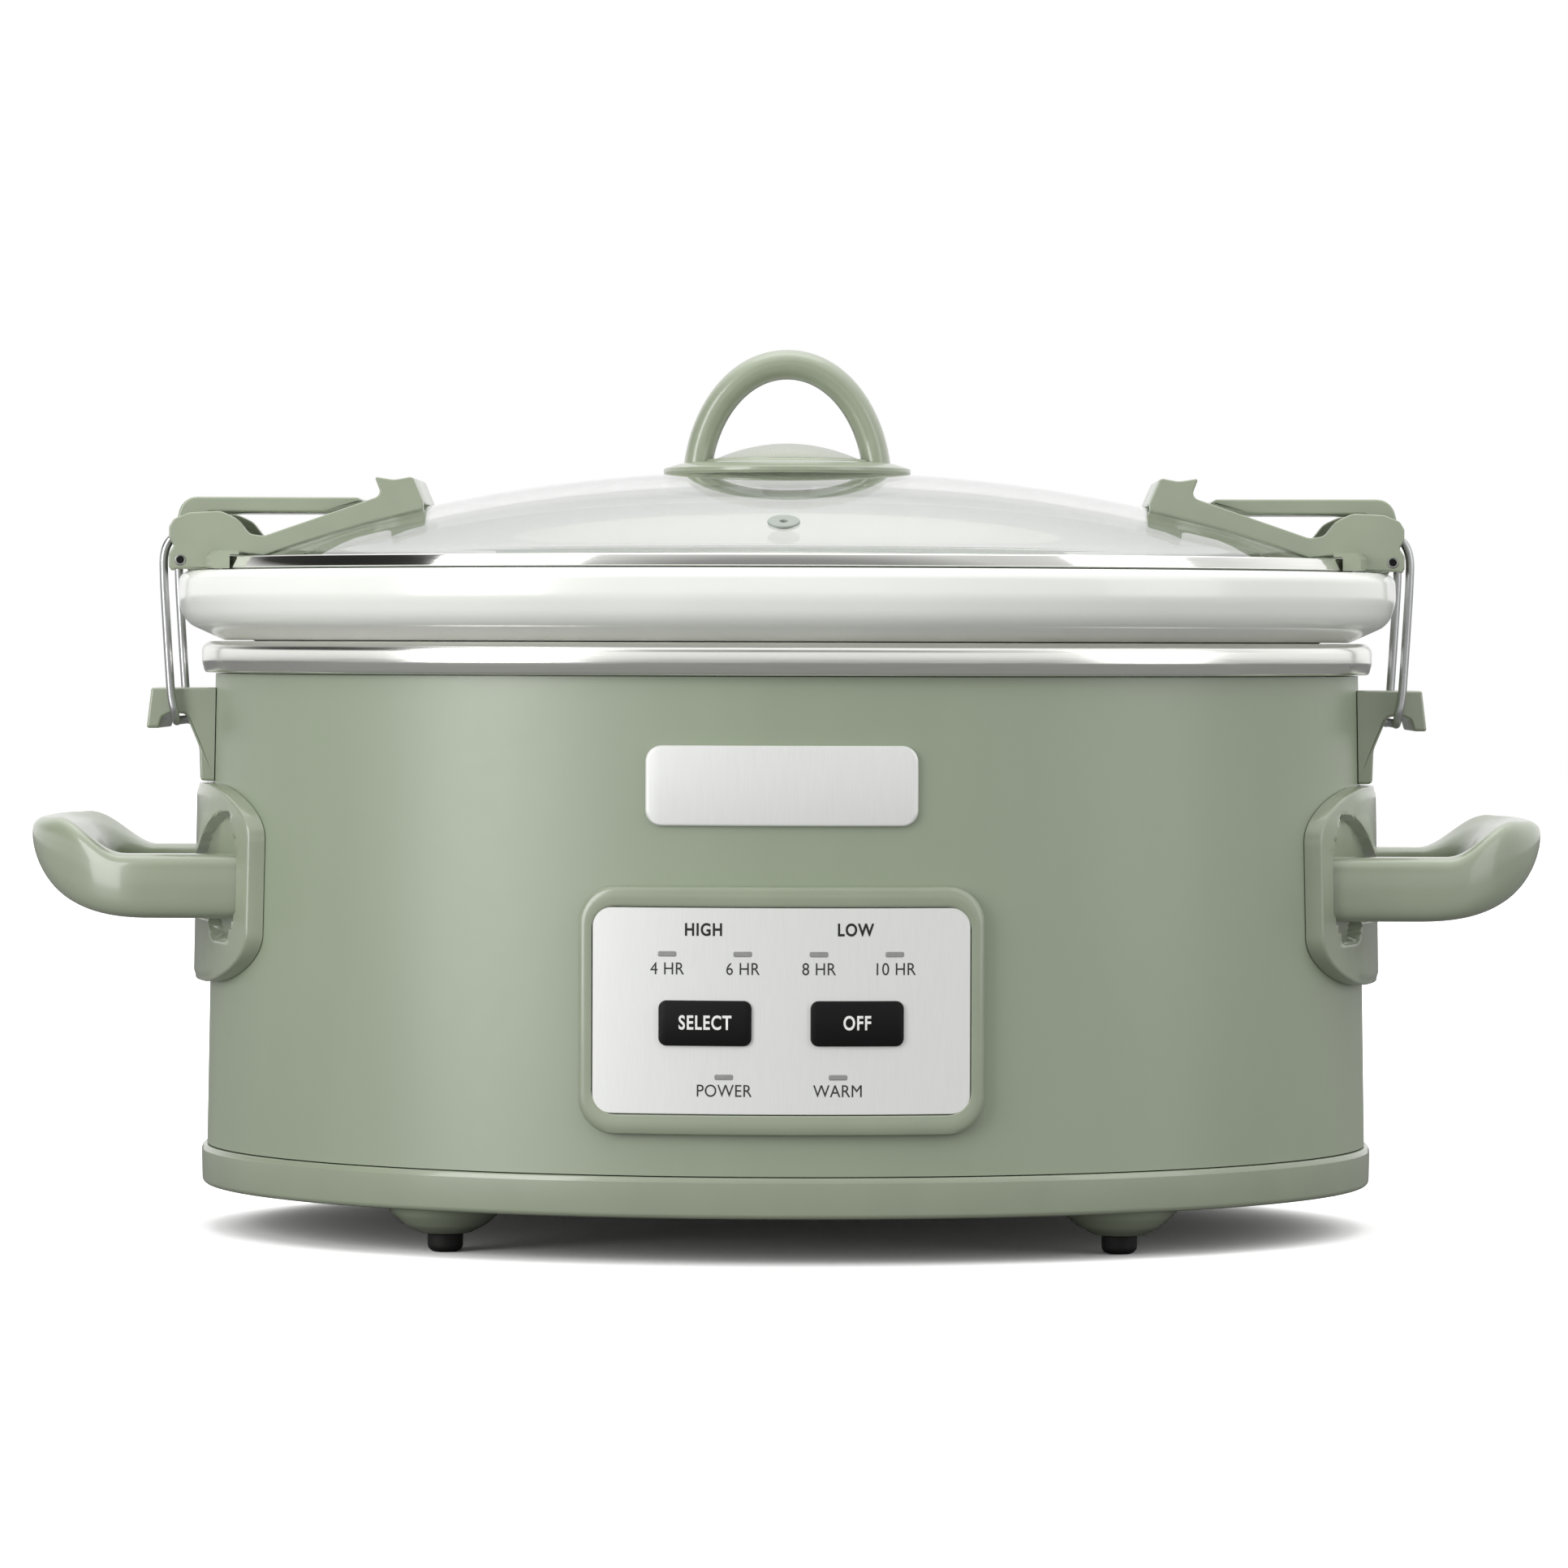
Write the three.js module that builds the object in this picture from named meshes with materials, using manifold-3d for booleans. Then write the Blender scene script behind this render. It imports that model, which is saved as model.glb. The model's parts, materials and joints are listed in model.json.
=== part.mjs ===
// An oval slow cooker with a removable stoneware crock, a latched glass lid and a push-button panel.
//
// Millimetres. +Z is up, the control panel faces -Y, and the two carrying handles are on -X and +X.
// The origin is on the table, under the middle of the cooker.
//
// Everything round the body follows one oval. An oval is named by its half-width along X.

import * as THREE from "three";
import { mergeVertices } from "three/addons/utils/BufferGeometryUtils.js";
import Module from "manifold-3d";

const wasm = await Module();
wasm.setup();

// ---------------------------------------------------------------- driving dimensions

const GAP = 0.3; // between pieces that touch
const OVAL_SEGMENTS = 36; // straight sides round an oval
const ROUND_SEGMENTS = 12; // straight sides round a small cylinder
const DEPTH_LESS = 43; // an oval's half-depth is its half-width less this
const PROPORTIONAL_INSIDE = 150; // smaller ovals keep the proportions of this one

const TABLE_GAP = 13; // from the table to the underside of the base pan
const BAND_TOP = 24.4; // top of the trim band round the foot of the housing
const HOUSING_TOP = 161.4;
const HOUSING_FOOT_OVAL = 169.3;
const HOUSING_TOP_OVAL = 166.9;
const SHEET = 0.9; // thickness of the housing's steel sheet

const RIM_OVAL = 170.9; // the polished ring on top of the housing
const RIM_TOP = 170.8;
const WELL_TOP_OVAL = 157; // inside of the heating well
const WELL_FLOOR = 42.8;

const CROCK_OVAL = 177.8; // outside of the crock's thick rim
const CROCK_TOP = 191.2;
const CROCK_WALL = 7;

const LID_OVAL = 166.3; // outside of the lid's metal band
const DOME_OVAL = 158; // where the glass dome meets its flat edge
const DOME_TOP = 221;
const DOME_DROP = 26.6;
const DOME_POWER = 2.25; // how late the dome turns down
const GLASS = 3.6; // glass thickness

const PANEL_Z = 70.1; // middle of the control panel
const PANEL = { width: 111.3, height: 68, corner: 10 };
const FACE = { width: 103.5, height: 56.4, corner: 5 };
const BUTTON = { width: 25.5, height: 12.4, corner: 2.2, x: 20.8, z: 66.8 };
const LED = { width: 5.1, height: 1.5 };
const HOUR_LEDS = { z: 85.7, x: [-31.2, -10.5, 10.3, 31] };
const STATE_LEDS = { z: 52.1, x: [-15.6, 15.6] };
const BADGE = { width: 74.7, height: 22, corner: 4.4, z: 131.6 };

const PIVOT = { x: 175, z: 194.2, r: 1.2 }; // the latch lever's pin
const BAIL_ARM = 8; // from the lever's pin to the bail's pivot
const BAIL_ANGLE = THREE.MathUtils.degToRad(105); // direction of that arm above +X
const BAIL_PIVOT = {
  x: PIVOT.x + BAIL_ARM * Math.cos(BAIL_ANGLE),
  z: PIVOT.z + BAIL_ARM * Math.sin(BAIL_ANGLE),
};
const WIRE = 1.25; // radius of the bail's wire
const BAIL_BAR = { x: 176.9, z: 147.7 }; // middle of the bar that hooks under the catch
const LEVER_HALF = 18.6; // half-widths along Y, from the inside out
const BAIL_HALF = 20.6;
const CHEEK_IN = 22.4;
const CHEEK_OUT = 26.4;
const CATCH_HALF = 17.5;

// ---------------------------------------------------------------- finishes

const FINISH = {
  sage: { color: 0x98a48c, roughness: 0.42, metalness: 0 },
  sagePaint: { color: 0x99a68e, roughness: 0.5, metalness: 0.1 },
  steel: { color: 0xc7c8c2, roughness: 0.25, metalness: 1 },
  darkSteel: { color: 0x8a8c8c, roughness: 0.4, metalness: 1 },
  aluminium: { color: 0xd8d8d6, roughness: 0.5, metalness: 0.6 },
  stoneware: { color: 0xdee3db, roughness: 0.12, metalness: 0 },
  glass: { color: 0xd5d7d2, roughness: 0.03, metalness: 0 },
  silicone: { color: 0xb9beb6, roughness: 0.6, metalness: 0 },
  rubber: { color: 0x0c0c0b, roughness: 0.8, metalness: 0 },
  black: { color: 0x151515, roughness: 0.35, metalness: 0 },
  board: { color: 0x2f5b3a, roughness: 0.5, metalness: 0 },
  mica: { color: 0x8d7a55, roughness: 0.7, metalness: 0 },
  lens: { color: 0x9a9a98, roughness: 0.3, metalness: 0 },
};

// ---------------------------------------------------------------- shape helpers

const halfDepth = (oval) => {
  const ratio = (PROPORTIONAL_INSIDE - DEPTH_LESS) / PROPORTIONAL_INSIDE;
  return oval < PROPORTIONAL_INSIDE ? oval * ratio : oval - DEPTH_LESS;
};

// Height of the glass dome's outside on the oval of the given half-width.
const domeZ = (oval) => DOME_TOP - DOME_DROP * (Math.abs(oval) / DOME_OVAL) ** DOME_POWER;

// Half-width of the oval through a point, for ovals inside PROPORTIONAL_INSIDE.
const ovalThrough = (x, y) => Math.hypot(x, (y * PROPORTIONAL_INSIDE) / halfDepth(PROPORTIONAL_INSIDE));

const vectors = (points) => points.map(([a, b]) => new THREE.Vector2(a, b));

// A solid of revolution about Z. The profile is [radius, z] points, anticlockwise.
function turned(profile, segments = ROUND_SEGMENTS) {
  const onAxis = profile[0][0] === 0;
  const points = onAxis ? profile : [...profile, profile[0]];
  return new THREE.LatheGeometry(vectors(points), segments).rotateX(Math.PI / 2);
}

// The same, squeezed along Y so that every radius becomes an oval's half-width.
function ovalTurned(profile) {
  const geometry = turned(profile, OVAL_SEGMENTS);
  const at = geometry.attributes.position;
  for (let i = 0; i < at.count; i += 1) {
    const oval = Math.hypot(at.getX(i), at.getY(i));
    if (oval > 0) at.setY(i, (at.getY(i) * halfDepth(oval)) / oval);
  }
  return geometry;
}

// Right-angled prisms. A shape's own two axes become the two that the prism doesn't run along.
function prism(shape, from, to) {
  const settings = { depth: to - from, bevelEnabled: false, curveSegments: 2 };
  return new THREE.ExtrudeGeometry(shape, settings).translate(0, 0, from);
}

function prismAlongX(shape, from, to) {
  const turn = new THREE.Matrix4().set(0, 0, 1, 0, 1, 0, 0, 0, 0, 1, 0, 0, 0, 0, 0, 1);
  return prism(shape, from, to).applyMatrix4(turn);
}

function prismAlongY(shape, from, to) {
  return prism(shape, -to, -from).rotateX(Math.PI / 2);
}

const outline = (points) => new THREE.Shape(vectors(points));

function roundedRect(width, height, corner, centreX = 0, centreY = 0) {
  const right = centreX + width / 2;
  const top = centreY + height / 2;
  const left = right - width;
  const bottom = top - height;
  const shape = new THREE.Shape();
  shape.moveTo(left + corner, bottom);
  shape.lineTo(right - corner, bottom);
  shape.absarc(right - corner, bottom + corner, corner, -Math.PI / 2, 0);
  shape.lineTo(right, top - corner);
  shape.absarc(right - corner, top - corner, corner, 0, Math.PI / 2);
  shape.lineTo(left + corner, top);
  shape.absarc(left + corner, top - corner, corner, Math.PI / 2, Math.PI);
  shape.lineTo(left, bottom + corner);
  shape.absarc(left + corner, bottom + corner, corner, Math.PI, 1.5 * Math.PI);
  return shape;
}

// A cylinder along "x", "y" or "z", from one coordinate to another.
function rod(axis, radius, from, to, centre, segments = ROUND_SEGMENTS) {
  const geometry = turned([[0, from], [radius, from], [radius, to], [0, to]], segments);
  if (axis === "x") geometry.rotateY(Math.PI / 2);
  if (axis === "y") geometry.rotateX(-Math.PI / 2);
  const [a, b] = centre;
  const place = { x: [0, a, b], y: [a, 0, b], z: [a, b, 0] }[axis];
  return geometry.translate(...place);
}

function block(x, y, z) {
  const box = new THREE.BoxGeometry(x[1] - x[0], y[1] - y[0], z[1] - z[0]);
  return box.translate((x[0] + x[1]) / 2, (y[0] + y[1]) / 2, (z[0] + z[1]) / 2);
}

// ---------------------------------------------------------------- booleans

function solid(geometry) {
  const bare = geometry.index ? geometry.toNonIndexed() : geometry.clone();
  bare.deleteAttribute("normal");
  bare.deleteAttribute("uv");
  const merged = mergeVertices(bare, 1e-3);
  const mesh = new wasm.Mesh({
    numProp: 3,
    vertProperties: merged.attributes.position.array,
    triVerts: new Uint32Array(merged.index.array),
  });
  return new wasm.Manifold(mesh);
}

function geometryOf(manifold) {
  const mesh = manifold.getMesh();
  const geometry = new THREE.BufferGeometry();
  geometry.setAttribute("position", new THREE.BufferAttribute(new Float32Array(mesh.vertProperties), 3));
  geometry.setIndex(new THREE.BufferAttribute(new Uint32Array(mesh.triVerts), 1));
  geometry.computeVertexNormals();
  return geometry;
}

const fused = (...pieces) => geometryOf(pieces.map(solid).reduce((whole, piece) => whole.add(piece)));

const cut = (body, ...tools) => {
  const left = tools.reduce((rest, tool) => rest.subtract(solid(tool)), solid(body));
  return geometryOf(left);
};

const common = (a, b) => geometryOf(solid(a).intersect(solid(b)));

// ---------------------------------------------------------------- scene graph

function mesh(name, geometry, finish) {
  const settings = { ...FINISH[finish] };
  if (finish === "glass") Object.assign(settings, { transparent: true, opacity: 0.35 });
  const piece = new THREE.Mesh(geometry, new THREE.MeshStandardMaterial(settings));
  piece.name = name;
  return piece;
}

const cooker = new THREE.Group();
const ends = { right: new THREE.Group(), left: new THREE.Group() };
ends.left.rotation.z = Math.PI;
cooker.add(ends.right, ends.left);

const add = (name, geometry, finish) => cooker.add(mesh(name, geometry, finish));

// The two ends of the cooker are alike, so a piece made for +X is also turned round to -X.
function addToEnds(name, geometry, finish) {
  for (const [side, group] of Object.entries(ends)) group.add(mesh(`${name}_${side}`, geometry, finish));
}

// ---------------------------------------------------------------- housing

// Half-width of the housing's outside at a height.
const housingOval = (z) => {
  const part = (z - BAND_TOP) / (HOUSING_TOP - BAND_TOP);
  return HOUSING_FOOT_OVAL + part * (HOUSING_TOP_OVAL - HOUSING_FOOT_OVAL);
};

// A ring that lies on the housing between two heights, between two distances off its outside.
function housingRing(bottom, top, near, far) {
  return ovalTurned([
    [housingOval(bottom) + near, bottom],
    [housingOval(bottom) + far, bottom],
    [housingOval(top) + far, top],
    [housingOval(top) + near, top],
  ]);
}

// Everything inside the housing's outside, or inside that grown by some distance.
function housingCore(grown) {
  const top = RIM_TOP;
  return ovalTurned([[0, 0], [housingOval(0) + grown, 0], [housingOval(top) + grown, top], [0, top]]);
}

const PANEL_CUT = { width: 97, height: 50, corner: 3 };
const HANDLE_SCREW = { y: 45, z: 101.5, r: 2 };
const CATCH_SCREW = { z: 137.5, r: 1.6 };
const GLAND = { z: 44, bore: 3.5, shaft: 6 };

function outerHousing() {
  const shell = housingRing(BAND_TOP + GAP, HOUSING_TOP, -SHEET, 0);
  const panelHole = roundedRect(PANEL_CUT.width, PANEL_CUT.height, PANEL_CUT.corner, 0, PANEL_Z);
  const tools = [
    prismAlongY(panelHole, -140, -90),
    rod("y", GLAND.shaft + 0.4, 100, 140, [0, GLAND.z]),
    rod("x", CATCH_SCREW.r + GAP, -200, 200, [0, CATCH_SCREW.z], 10),
  ];
  for (const y of [-HANDLE_SCREW.y, HANDLE_SCREW.y]) {
    tools.push(rod("x", HANDLE_SCREW.r + GAP, -200, 200, [y, HANDLE_SCREW.z], 10));
  }
  return cut(shell, ...tools);
}

// The polished ring wraps over the housing's top edge and carries the crock.
function housingRim() {
  const under = HOUSING_TOP + GAP;
  const metal = 1;
  return ovalTurned([
    [HOUSING_TOP_OVAL + GAP, under],
    [RIM_OVAL, under],
    [RIM_OVAL, RIM_TOP - 2.6],
    [RIM_OVAL - 0.8, RIM_TOP - 0.8],
    [RIM_OVAL - 2.6, RIM_TOP],
    [WELL_TOP_OVAL + 1, RIM_TOP],
    [WELL_TOP_OVAL + 1, RIM_TOP - metal],
    [RIM_OVAL - 3, RIM_TOP - metal],
    [RIM_OVAL - metal, RIM_TOP - 3],
    [RIM_OVAL - metal, under + metal],
    [HOUSING_TOP_OVAL + GAP, under + metal],
  ]);
}

// ---------------------------------------------------------------- heating well and its parts

const WELL_SHEET = 0.8;
const WELL_WALL_FOOT = { oval: 150, z: 62 }; // where the wall starts to curve into the floor

const wellOval = (z) => {
  const rise = (z - WELL_WALL_FOOT.z) / (RIM_TOP - 2 - WELL_WALL_FOOT.z);
  return WELL_WALL_FOOT.oval + rise * (WELL_TOP_OVAL - WELL_WALL_FOOT.oval);
};

// A quarter bend from a floor to a wall: points from the floor's edge up to the wall's foot.
function floorBend(wallOval, wallZ, floorZ, steps = 3) {
  const radius = wallZ - floorZ;
  return Array.from({ length: steps + 1 }, (_, i) => {
    const angle = (i / steps) * (Math.PI / 2);
    return [wallOval - radius + radius * Math.sin(angle), wallZ - radius * Math.cos(angle)];
  });
}

function heatingWell() {
  const top = RIM_TOP - 1.4;
  const { oval, z } = WELL_WALL_FOOT;
  const outside = floorBend(oval + WELL_SHEET, z, WELL_FLOOR - WELL_SHEET);
  const inside = floorBend(oval, z, WELL_FLOOR).reverse();
  const flange = WELL_TOP_OVAL + 7;
  return ovalTurned([
    [0, WELL_FLOOR - WELL_SHEET],
    ...outside,
    [wellOval(top - WELL_SHEET) + WELL_SHEET, top - WELL_SHEET],
    [flange, top - WELL_SHEET],
    [flange, top],
    [wellOval(top), top],
    ...inside,
    [0, WELL_FLOOR],
  ]);
}

function heaterBand() {
  const [low, high] = [68, 106];
  const near = WELL_SHEET + GAP;
  const far = near + 1.6;
  return ovalTurned([
    [wellOval(low) + near, low],
    [wellOval(low) + far, low],
    [wellOval(high) + far, high],
    [wellOval(high) + near, high],
  ]);
}

// ---------------------------------------------------------------- base

const FOOT = { x: 94.4, y: 84, radius: 5, height: 5.1 };
const STUD = 2.5;

function basePan() {
  const floor = TABLE_GAP + 2.5;
  const bandOval = HOUSING_FOOT_OVAL + 1.6;
  const pan = ovalTurned([
    [0, TABLE_GAP],
    [bandOval - 1.2, TABLE_GAP],
    [bandOval, TABLE_GAP + 1.2],
    [bandOval - 0.3, BAND_TOP],
    [HOUSING_FOOT_OVAL - 2.7, BAND_TOP],
    [HOUSING_FOOT_OVAL - 2.7, floor],
    [0, floor],
  ]);
  const pod = [[0, 5.4], [6.5, 5.4], [9.5, 6.4], [14, 9.8], [17, TABLE_GAP + 1], [0, TABLE_GAP + 1]];
  const pods = [];
  for (const x of [-FOOT.x, FOOT.x]) {
    for (const y of [-FOOT.y, FOOT.y]) pods.push(turned(pod).translate(x, y, 0));
  }
  return cut(fused(pan, ...pods), rod("z", STUD + GAP, 0, 40, [0, 0]));
}

function rubberFoot() {
  const { radius, height } = FOOT;
  return turned([[0, 0], [radius - 0.8, 0], [radius, 0.8], [radius, height], [0, height]]);
}

function hexNut() {
  return cut(rod("z", 5, 8.2, TABLE_GAP - GAP, [0, 0], 6), rod("z", STUD + GAP, 0, 20, [0, 0]));
}

// ---------------------------------------------------------------- crock

function stonewareCrock() {
  const [foot, floor] = [WELL_FLOOR + 1.4, WELL_FLOOR + 9];
  const outer = floorBend(WELL_WALL_FOOT.oval - 1.6, WELL_WALL_FOOT.z, foot);
  const inner = floorBend(WELL_WALL_FOOT.oval - 1.6 - CROCK_WALL, WELL_WALL_FOOT.z + 6, floor).reverse();
  const underRim = RIM_TOP + GAP;
  return ovalTurned([
    [0, foot],
    ...outer,
    [wellOval(underRim) - 1.6, underRim],
    [CROCK_OVAL - 13.2, underRim],
    [CROCK_OVAL - 7.5, underRim + 2.2],
    [CROCK_OVAL - 2.4, underRim + 6],
    [CROCK_OVAL, underRim + 11.5],
    [CROCK_OVAL - 0.3, CROCK_TOP - 2.6],
    [CROCK_OVAL - 3.4, CROCK_TOP],
    [CROCK_OVAL - 22.5, CROCK_TOP],
    [CROCK_OVAL - 26.5, CROCK_TOP - 1.8],
    [CROCK_OVAL - 28.3, CROCK_TOP - 6],
    ...inner,
    [0, floor],
  ]);
}

// ---------------------------------------------------------------- lid

const LID_EDGE = { bottom: 191.8, top: 195.2, metal: 0.7 };
const VENT = { y: -92, r: 3.1 };
VENT.z = domeZ(ovalThrough(0, VENT.y));
// The dome's slope at the vent, from the heights a millimetre either side of it.
VENT.tilt = Math.atan((domeZ(ovalThrough(0, VENT.y + 1)) - domeZ(ovalThrough(0, VENT.y - 1))) / 2);

function lidGlass() {
  const edge = LID_OVAL - 1.2;
  const edgeTop = LID_EDGE.top - LID_EDGE.metal - GAP;
  const edgeBottom = 192.8;
  const steps = 6;
  const outside = [];
  for (let i = 0; i <= steps; i += 1) {
    const oval = DOME_OVAL * (1 - i / steps);
    outside.push([oval, domeZ(oval)]);
  }
  const inside = outside.slice(1).map(([oval, z]) => [oval, z - GLASS]).reverse();
  const glass = ovalTurned([
    ...inside,
    [DOME_OVAL - 4, edgeBottom],
    [edge, edgeBottom],
    [edge, edgeTop],
    [DOME_OVAL + 0.2, edgeTop],
    ...outside,
  ]);
  const ventHole = rod("z", VENT.r + GAP, -12, 12, [0, 0]).rotateX(VENT.tilt).translate(0, VENT.y, VENT.z);
  return cut(glass, rod("z", 3.4, 200, 240, [0, 0]), ventHole);
}

function lidRimBand() {
  const { bottom, top, metal } = LID_EDGE;
  return ovalTurned([
    [LID_OVAL - metal, bottom],
    [LID_OVAL, bottom],
    [LID_OVAL, top - 0.5],
    [LID_OVAL - 0.5, top],
    [DOME_OVAL + 0.8, top],
    [DOME_OVAL + 0.8, top - metal],
    [LID_OVAL - metal, top - metal],
  ]);
}

function lidGasket() {
  const lip = CROCK_OVAL - 28.9;
  return ovalTurned([
    [lip - 1.7, CROCK_TOP - 5],
    [lip, CROCK_TOP - 5],
    [lip, CROCK_TOP + GAP],
    [LID_OVAL - 1.1, CROCK_TOP + GAP],
    [LID_OVAL - 1.1, 192.5],
    [lip - 1.7, 192.5],
  ]);
}

const ARCH = { half: 30.4, inner: 21.8, foot: 221.8, top: 256.4, innerTop: 247.7, thick: 14.5 };

function lidHandle() {
  const { half, inner, foot, top, innerTop, thick } = ARCH;
  const arch = new THREE.Shape();
  arch.moveTo(-half, foot);
  arch.bezierCurveTo(-half + 1.9, foot + 18.2, -17, top, 0, top);
  arch.bezierCurveTo(17, top, half - 1.9, foot + 18.2, half, foot);
  arch.lineTo(inner, foot);
  arch.bezierCurveTo(inner - 1.3, foot + 13.2, 12, innerTop, 0, innerTop);
  arch.bezierCurveTo(-12, innerTop, -inner + 1.3, foot + 13.2, -inner, foot);
  const bevel = 3;
  const bar = new THREE.ExtrudeGeometry(arch, {
    depth: thick - 2 * bevel,
    bevelThickness: bevel,
    bevelSize: bevel,
    bevelOffset: -bevel,
    bevelSegments: 1,
    curveSegments: 8,
  });
  bar.translate(0, 0, bevel - thick / 2).rotateX(Math.PI / 2);
  const under = [[0, 221.35], [18, 221.1], [36.2, 220.1]];
  const above = [[36.2, 220.9], [30.4, 223], [28.5, 223.2], [24, 222.7], [0, 222.7]];
  const flange = turned([...under, ...above], 24);
  return cut(fused(flange, bar), rod("z", 2.2, 215, 222, [0, 0], 12));
}

function handleCap() {
  return turned([[0, 223], [19.6, 223], [19.9, 223.6], [16, 226], [10, 228.2], [5, 229.1], [0, 229.4]], 20);
}

// The screw comes up through the glass into the handle. Its wide head clamps the glass.
function lidHandleScrew() {
  const underGlass = DOME_TOP - GLASS - GAP;
  const head = { bottom: underGlass - 2, r: 7.5 };
  const shank = { top: 221.6, r: 1.9 };
  return turned([
    [0, head.bottom],
    [head.r - 1, head.bottom],
    [head.r, head.bottom + 1],
    [head.r, underGlass],
    [shank.r, underGlass],
    [shank.r, shank.top],
    [0, shank.top],
  ]);
}

function ventGrommet() {
  const { r } = VENT;
  const [bore, lip] = [1.4, 4.4];
  const under = -GLASS - 0.5;
  const ring = turned([
    [bore, under - 0.8],
    [lip, under - 0.8],
    [lip, under],
    [r, under],
    [r, 0.6],
    [lip, 0.6],
    [lip - 0.9, 1.6],
    [bore, 1.6],
  ]);
  return ring.rotateX(VENT.tilt).translate(0, VENT.y, VENT.z);
}

// ---------------------------------------------------------------- latch: the frame clamped to the lid

// The frame's arms lie just above the glass.
const FRAME_REACH = { from: 151, to: 104.9 };
const CLEAR_OF_GLASS = 0.9;

function armUnderside() {
  const points = [];
  const steps = 4;
  for (let i = 0; i <= steps; i += 1) {
    const x = FRAME_REACH.from + (i / steps) * (FRAME_REACH.to - FRAME_REACH.from);
    points.push([x, domeZ(ovalThrough(x, CHEEK_IN)) + CLEAR_OF_GLASS]);
  }
  return points;
}

// The raised grip at the frame's inner end, from its inner edge outward.
const TAB = [
  [104.9, 216.4],
  [107.2, 218.4],
  [111.6, 217.8],
  [118.7, 218.4],
  [116.8, 213],
];

// The cheek's outline goes over the hump, down the heel and back along the foot.
function cheekOutline() {
  const rise = [[150.7, 201.4], [154.6, 201.8], [157.4, 204.8], [160.8, 207.4]];
  const hump = [[164.5, 208.3], [172.5, 207.8], [176.6, 205.8], [178.3, 203.6]];
  const heel = [[178.3, 200.4], [176.9, 198.2], [178.4, 196.2], [178.4, 192.4]];
  const foot = [[177.6, 191], [176.4, 191.6], [166.6, 191.6], [166.6, 196.1], [157, 196.3]];
  return outline([...armUnderside(), ...TAB, ...rise, ...hump, ...heel, ...foot]);
}

function latchFrame() {
  const cheek = cheekOutline();
  const bothCheeks = fused(
    prismAlongY(cheek, -CHEEK_OUT, -CHEEK_IN),
    prismAlongY(cheek, CHEEK_IN, CHEEK_OUT),
  );
  const tabBottom = domeZ(ovalThrough(FRAME_REACH.to, 0)) + CLEAR_OF_GLASS;
  const gripEnd = outline([[FRAME_REACH.to, tabBottom], [113.5, 209.2], ...[...TAB].reverse()]);
  const grip = prismAlongY(gripEnd, -CHEEK_OUT, CHEEK_OUT);
  // A clamp wraps the lid's edge between the cheeks and joins them.
  const wrap = [[166.7, 191.7], [171.5, 191.7], [171.5, 195.4], [169.8, 197], [160.6, 197.6]];
  const lip = [[160.6, 195.7], [166.7, 195.7]];
  const clamp = common(
    ovalTurned([...wrap, ...lip]),
    block([140, 180], [-CHEEK_OUT + GAP, CHEEK_OUT - GAP], [185, 205]),
  );
  const pinHole = rod("y", PIVOT.r + GAP, -50, 50, [PIVOT.x, PIVOT.z]);
  return cut(fused(bothCheeks, grip, clamp), pinHole);
}

function latchPin() {
  return rod("y", PIVOT.r, -CHEEK_OUT + 0.4, CHEEK_OUT - 0.4, [PIVOT.x, PIVOT.z]);
}

// ---------------------------------------------------------------- latch: the over-centre lever and the bail

function latchLever() {
  const side = new THREE.Shape();
  side.moveTo(122.8, 211.3);
  side.lineTo(124.4, 212.6);
  side.lineTo(169.5, 212.8);
  side.quadraticCurveTo(176.2, 212.4, 177.2, 205.5);
  side.lineTo(177.6, 194.2);
  side.absarc(PIVOT.x, PIVOT.z, 2.6, 0, -Math.PI, true);
  side.lineTo(169.6, 200.5);
  side.lineTo(168.8, 206);
  side.lineTo(166, 208.2);
  side.lineTo(133.6, 208.2);
  const pinHole = rod("y", PIVOT.r + GAP, -50, 50, [PIVOT.x, PIVOT.z]);
  const bailHole = rod("y", WIRE + GAP, -50, 50, [BAIL_PIVOT.x, BAIL_PIVOT.z]);
  return cut(prismAlongY(side, -LEVER_HALF, LEVER_HALF), pinHole, bailHole);
}

// The wire comes out of the lever, steps outward round the cheek, runs down and hooks under the catch.
function latchBail() {
  const half = [
    [BAIL_PIVOT.x, 13, BAIL_PIVOT.z],
    [BAIL_PIVOT.x, 18, BAIL_PIVOT.z],
    [BAIL_PIVOT.x + 1, BAIL_HALF - 0.3, BAIL_PIVOT.z - 0.2],
    [178.4, BAIL_HALF, 200.1],
    [180.3, BAIL_HALF, 195.5],
    [180.2, BAIL_HALF, 188],
    [178.7, BAIL_HALF, 163],
    [178.1, BAIL_HALF, 154.5],
    [177.1, BAIL_HALF, 149.8],
    [BAIL_BAR.x, BAIL_HALF - 2.2, BAIL_BAR.z],
    [BAIL_BAR.x, 8, BAIL_BAR.z],
  ];
  const mirrored = half.map(([x, y, z]) => [x, -y, z]).reverse();
  const points = [...half, ...mirrored].map(([x, y, z]) => new THREE.Vector3(x, y, z));
  const path = new THREE.CatmullRomCurve3(points, false, "centripetal");
  const section = new THREE.Shape().absarc(0, 0, WIRE, 0, 2 * Math.PI);
  return new THREE.ExtrudeGeometry(section, { steps: 48, curveSegments: 4, extrudePath: path });
}

// The catch stands off the housing and hooks down over the bail's bar.
function latchCatch() {
  const side = outline([
    [150, 130.2],
    [170.2, 130.2],
    [170.4, 140],
    [173.7, 148.2],
    [174.4, 149.5],
    [178.5, 149.9],
    [181.4, 148.6],
    [182.2, 145.5],
    [185.8, 145.5],
    [184.4, 157.2],
    [150, 157.2],
  ]);
  const hole = rod("x", CATCH_SCREW.r + GAP, 150, 169, [0, CATCH_SCREW.z], 10);
  return cut(prismAlongY(side, -CATCH_HALF, CATCH_HALF), housingCore(GAP), hole);
}

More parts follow.
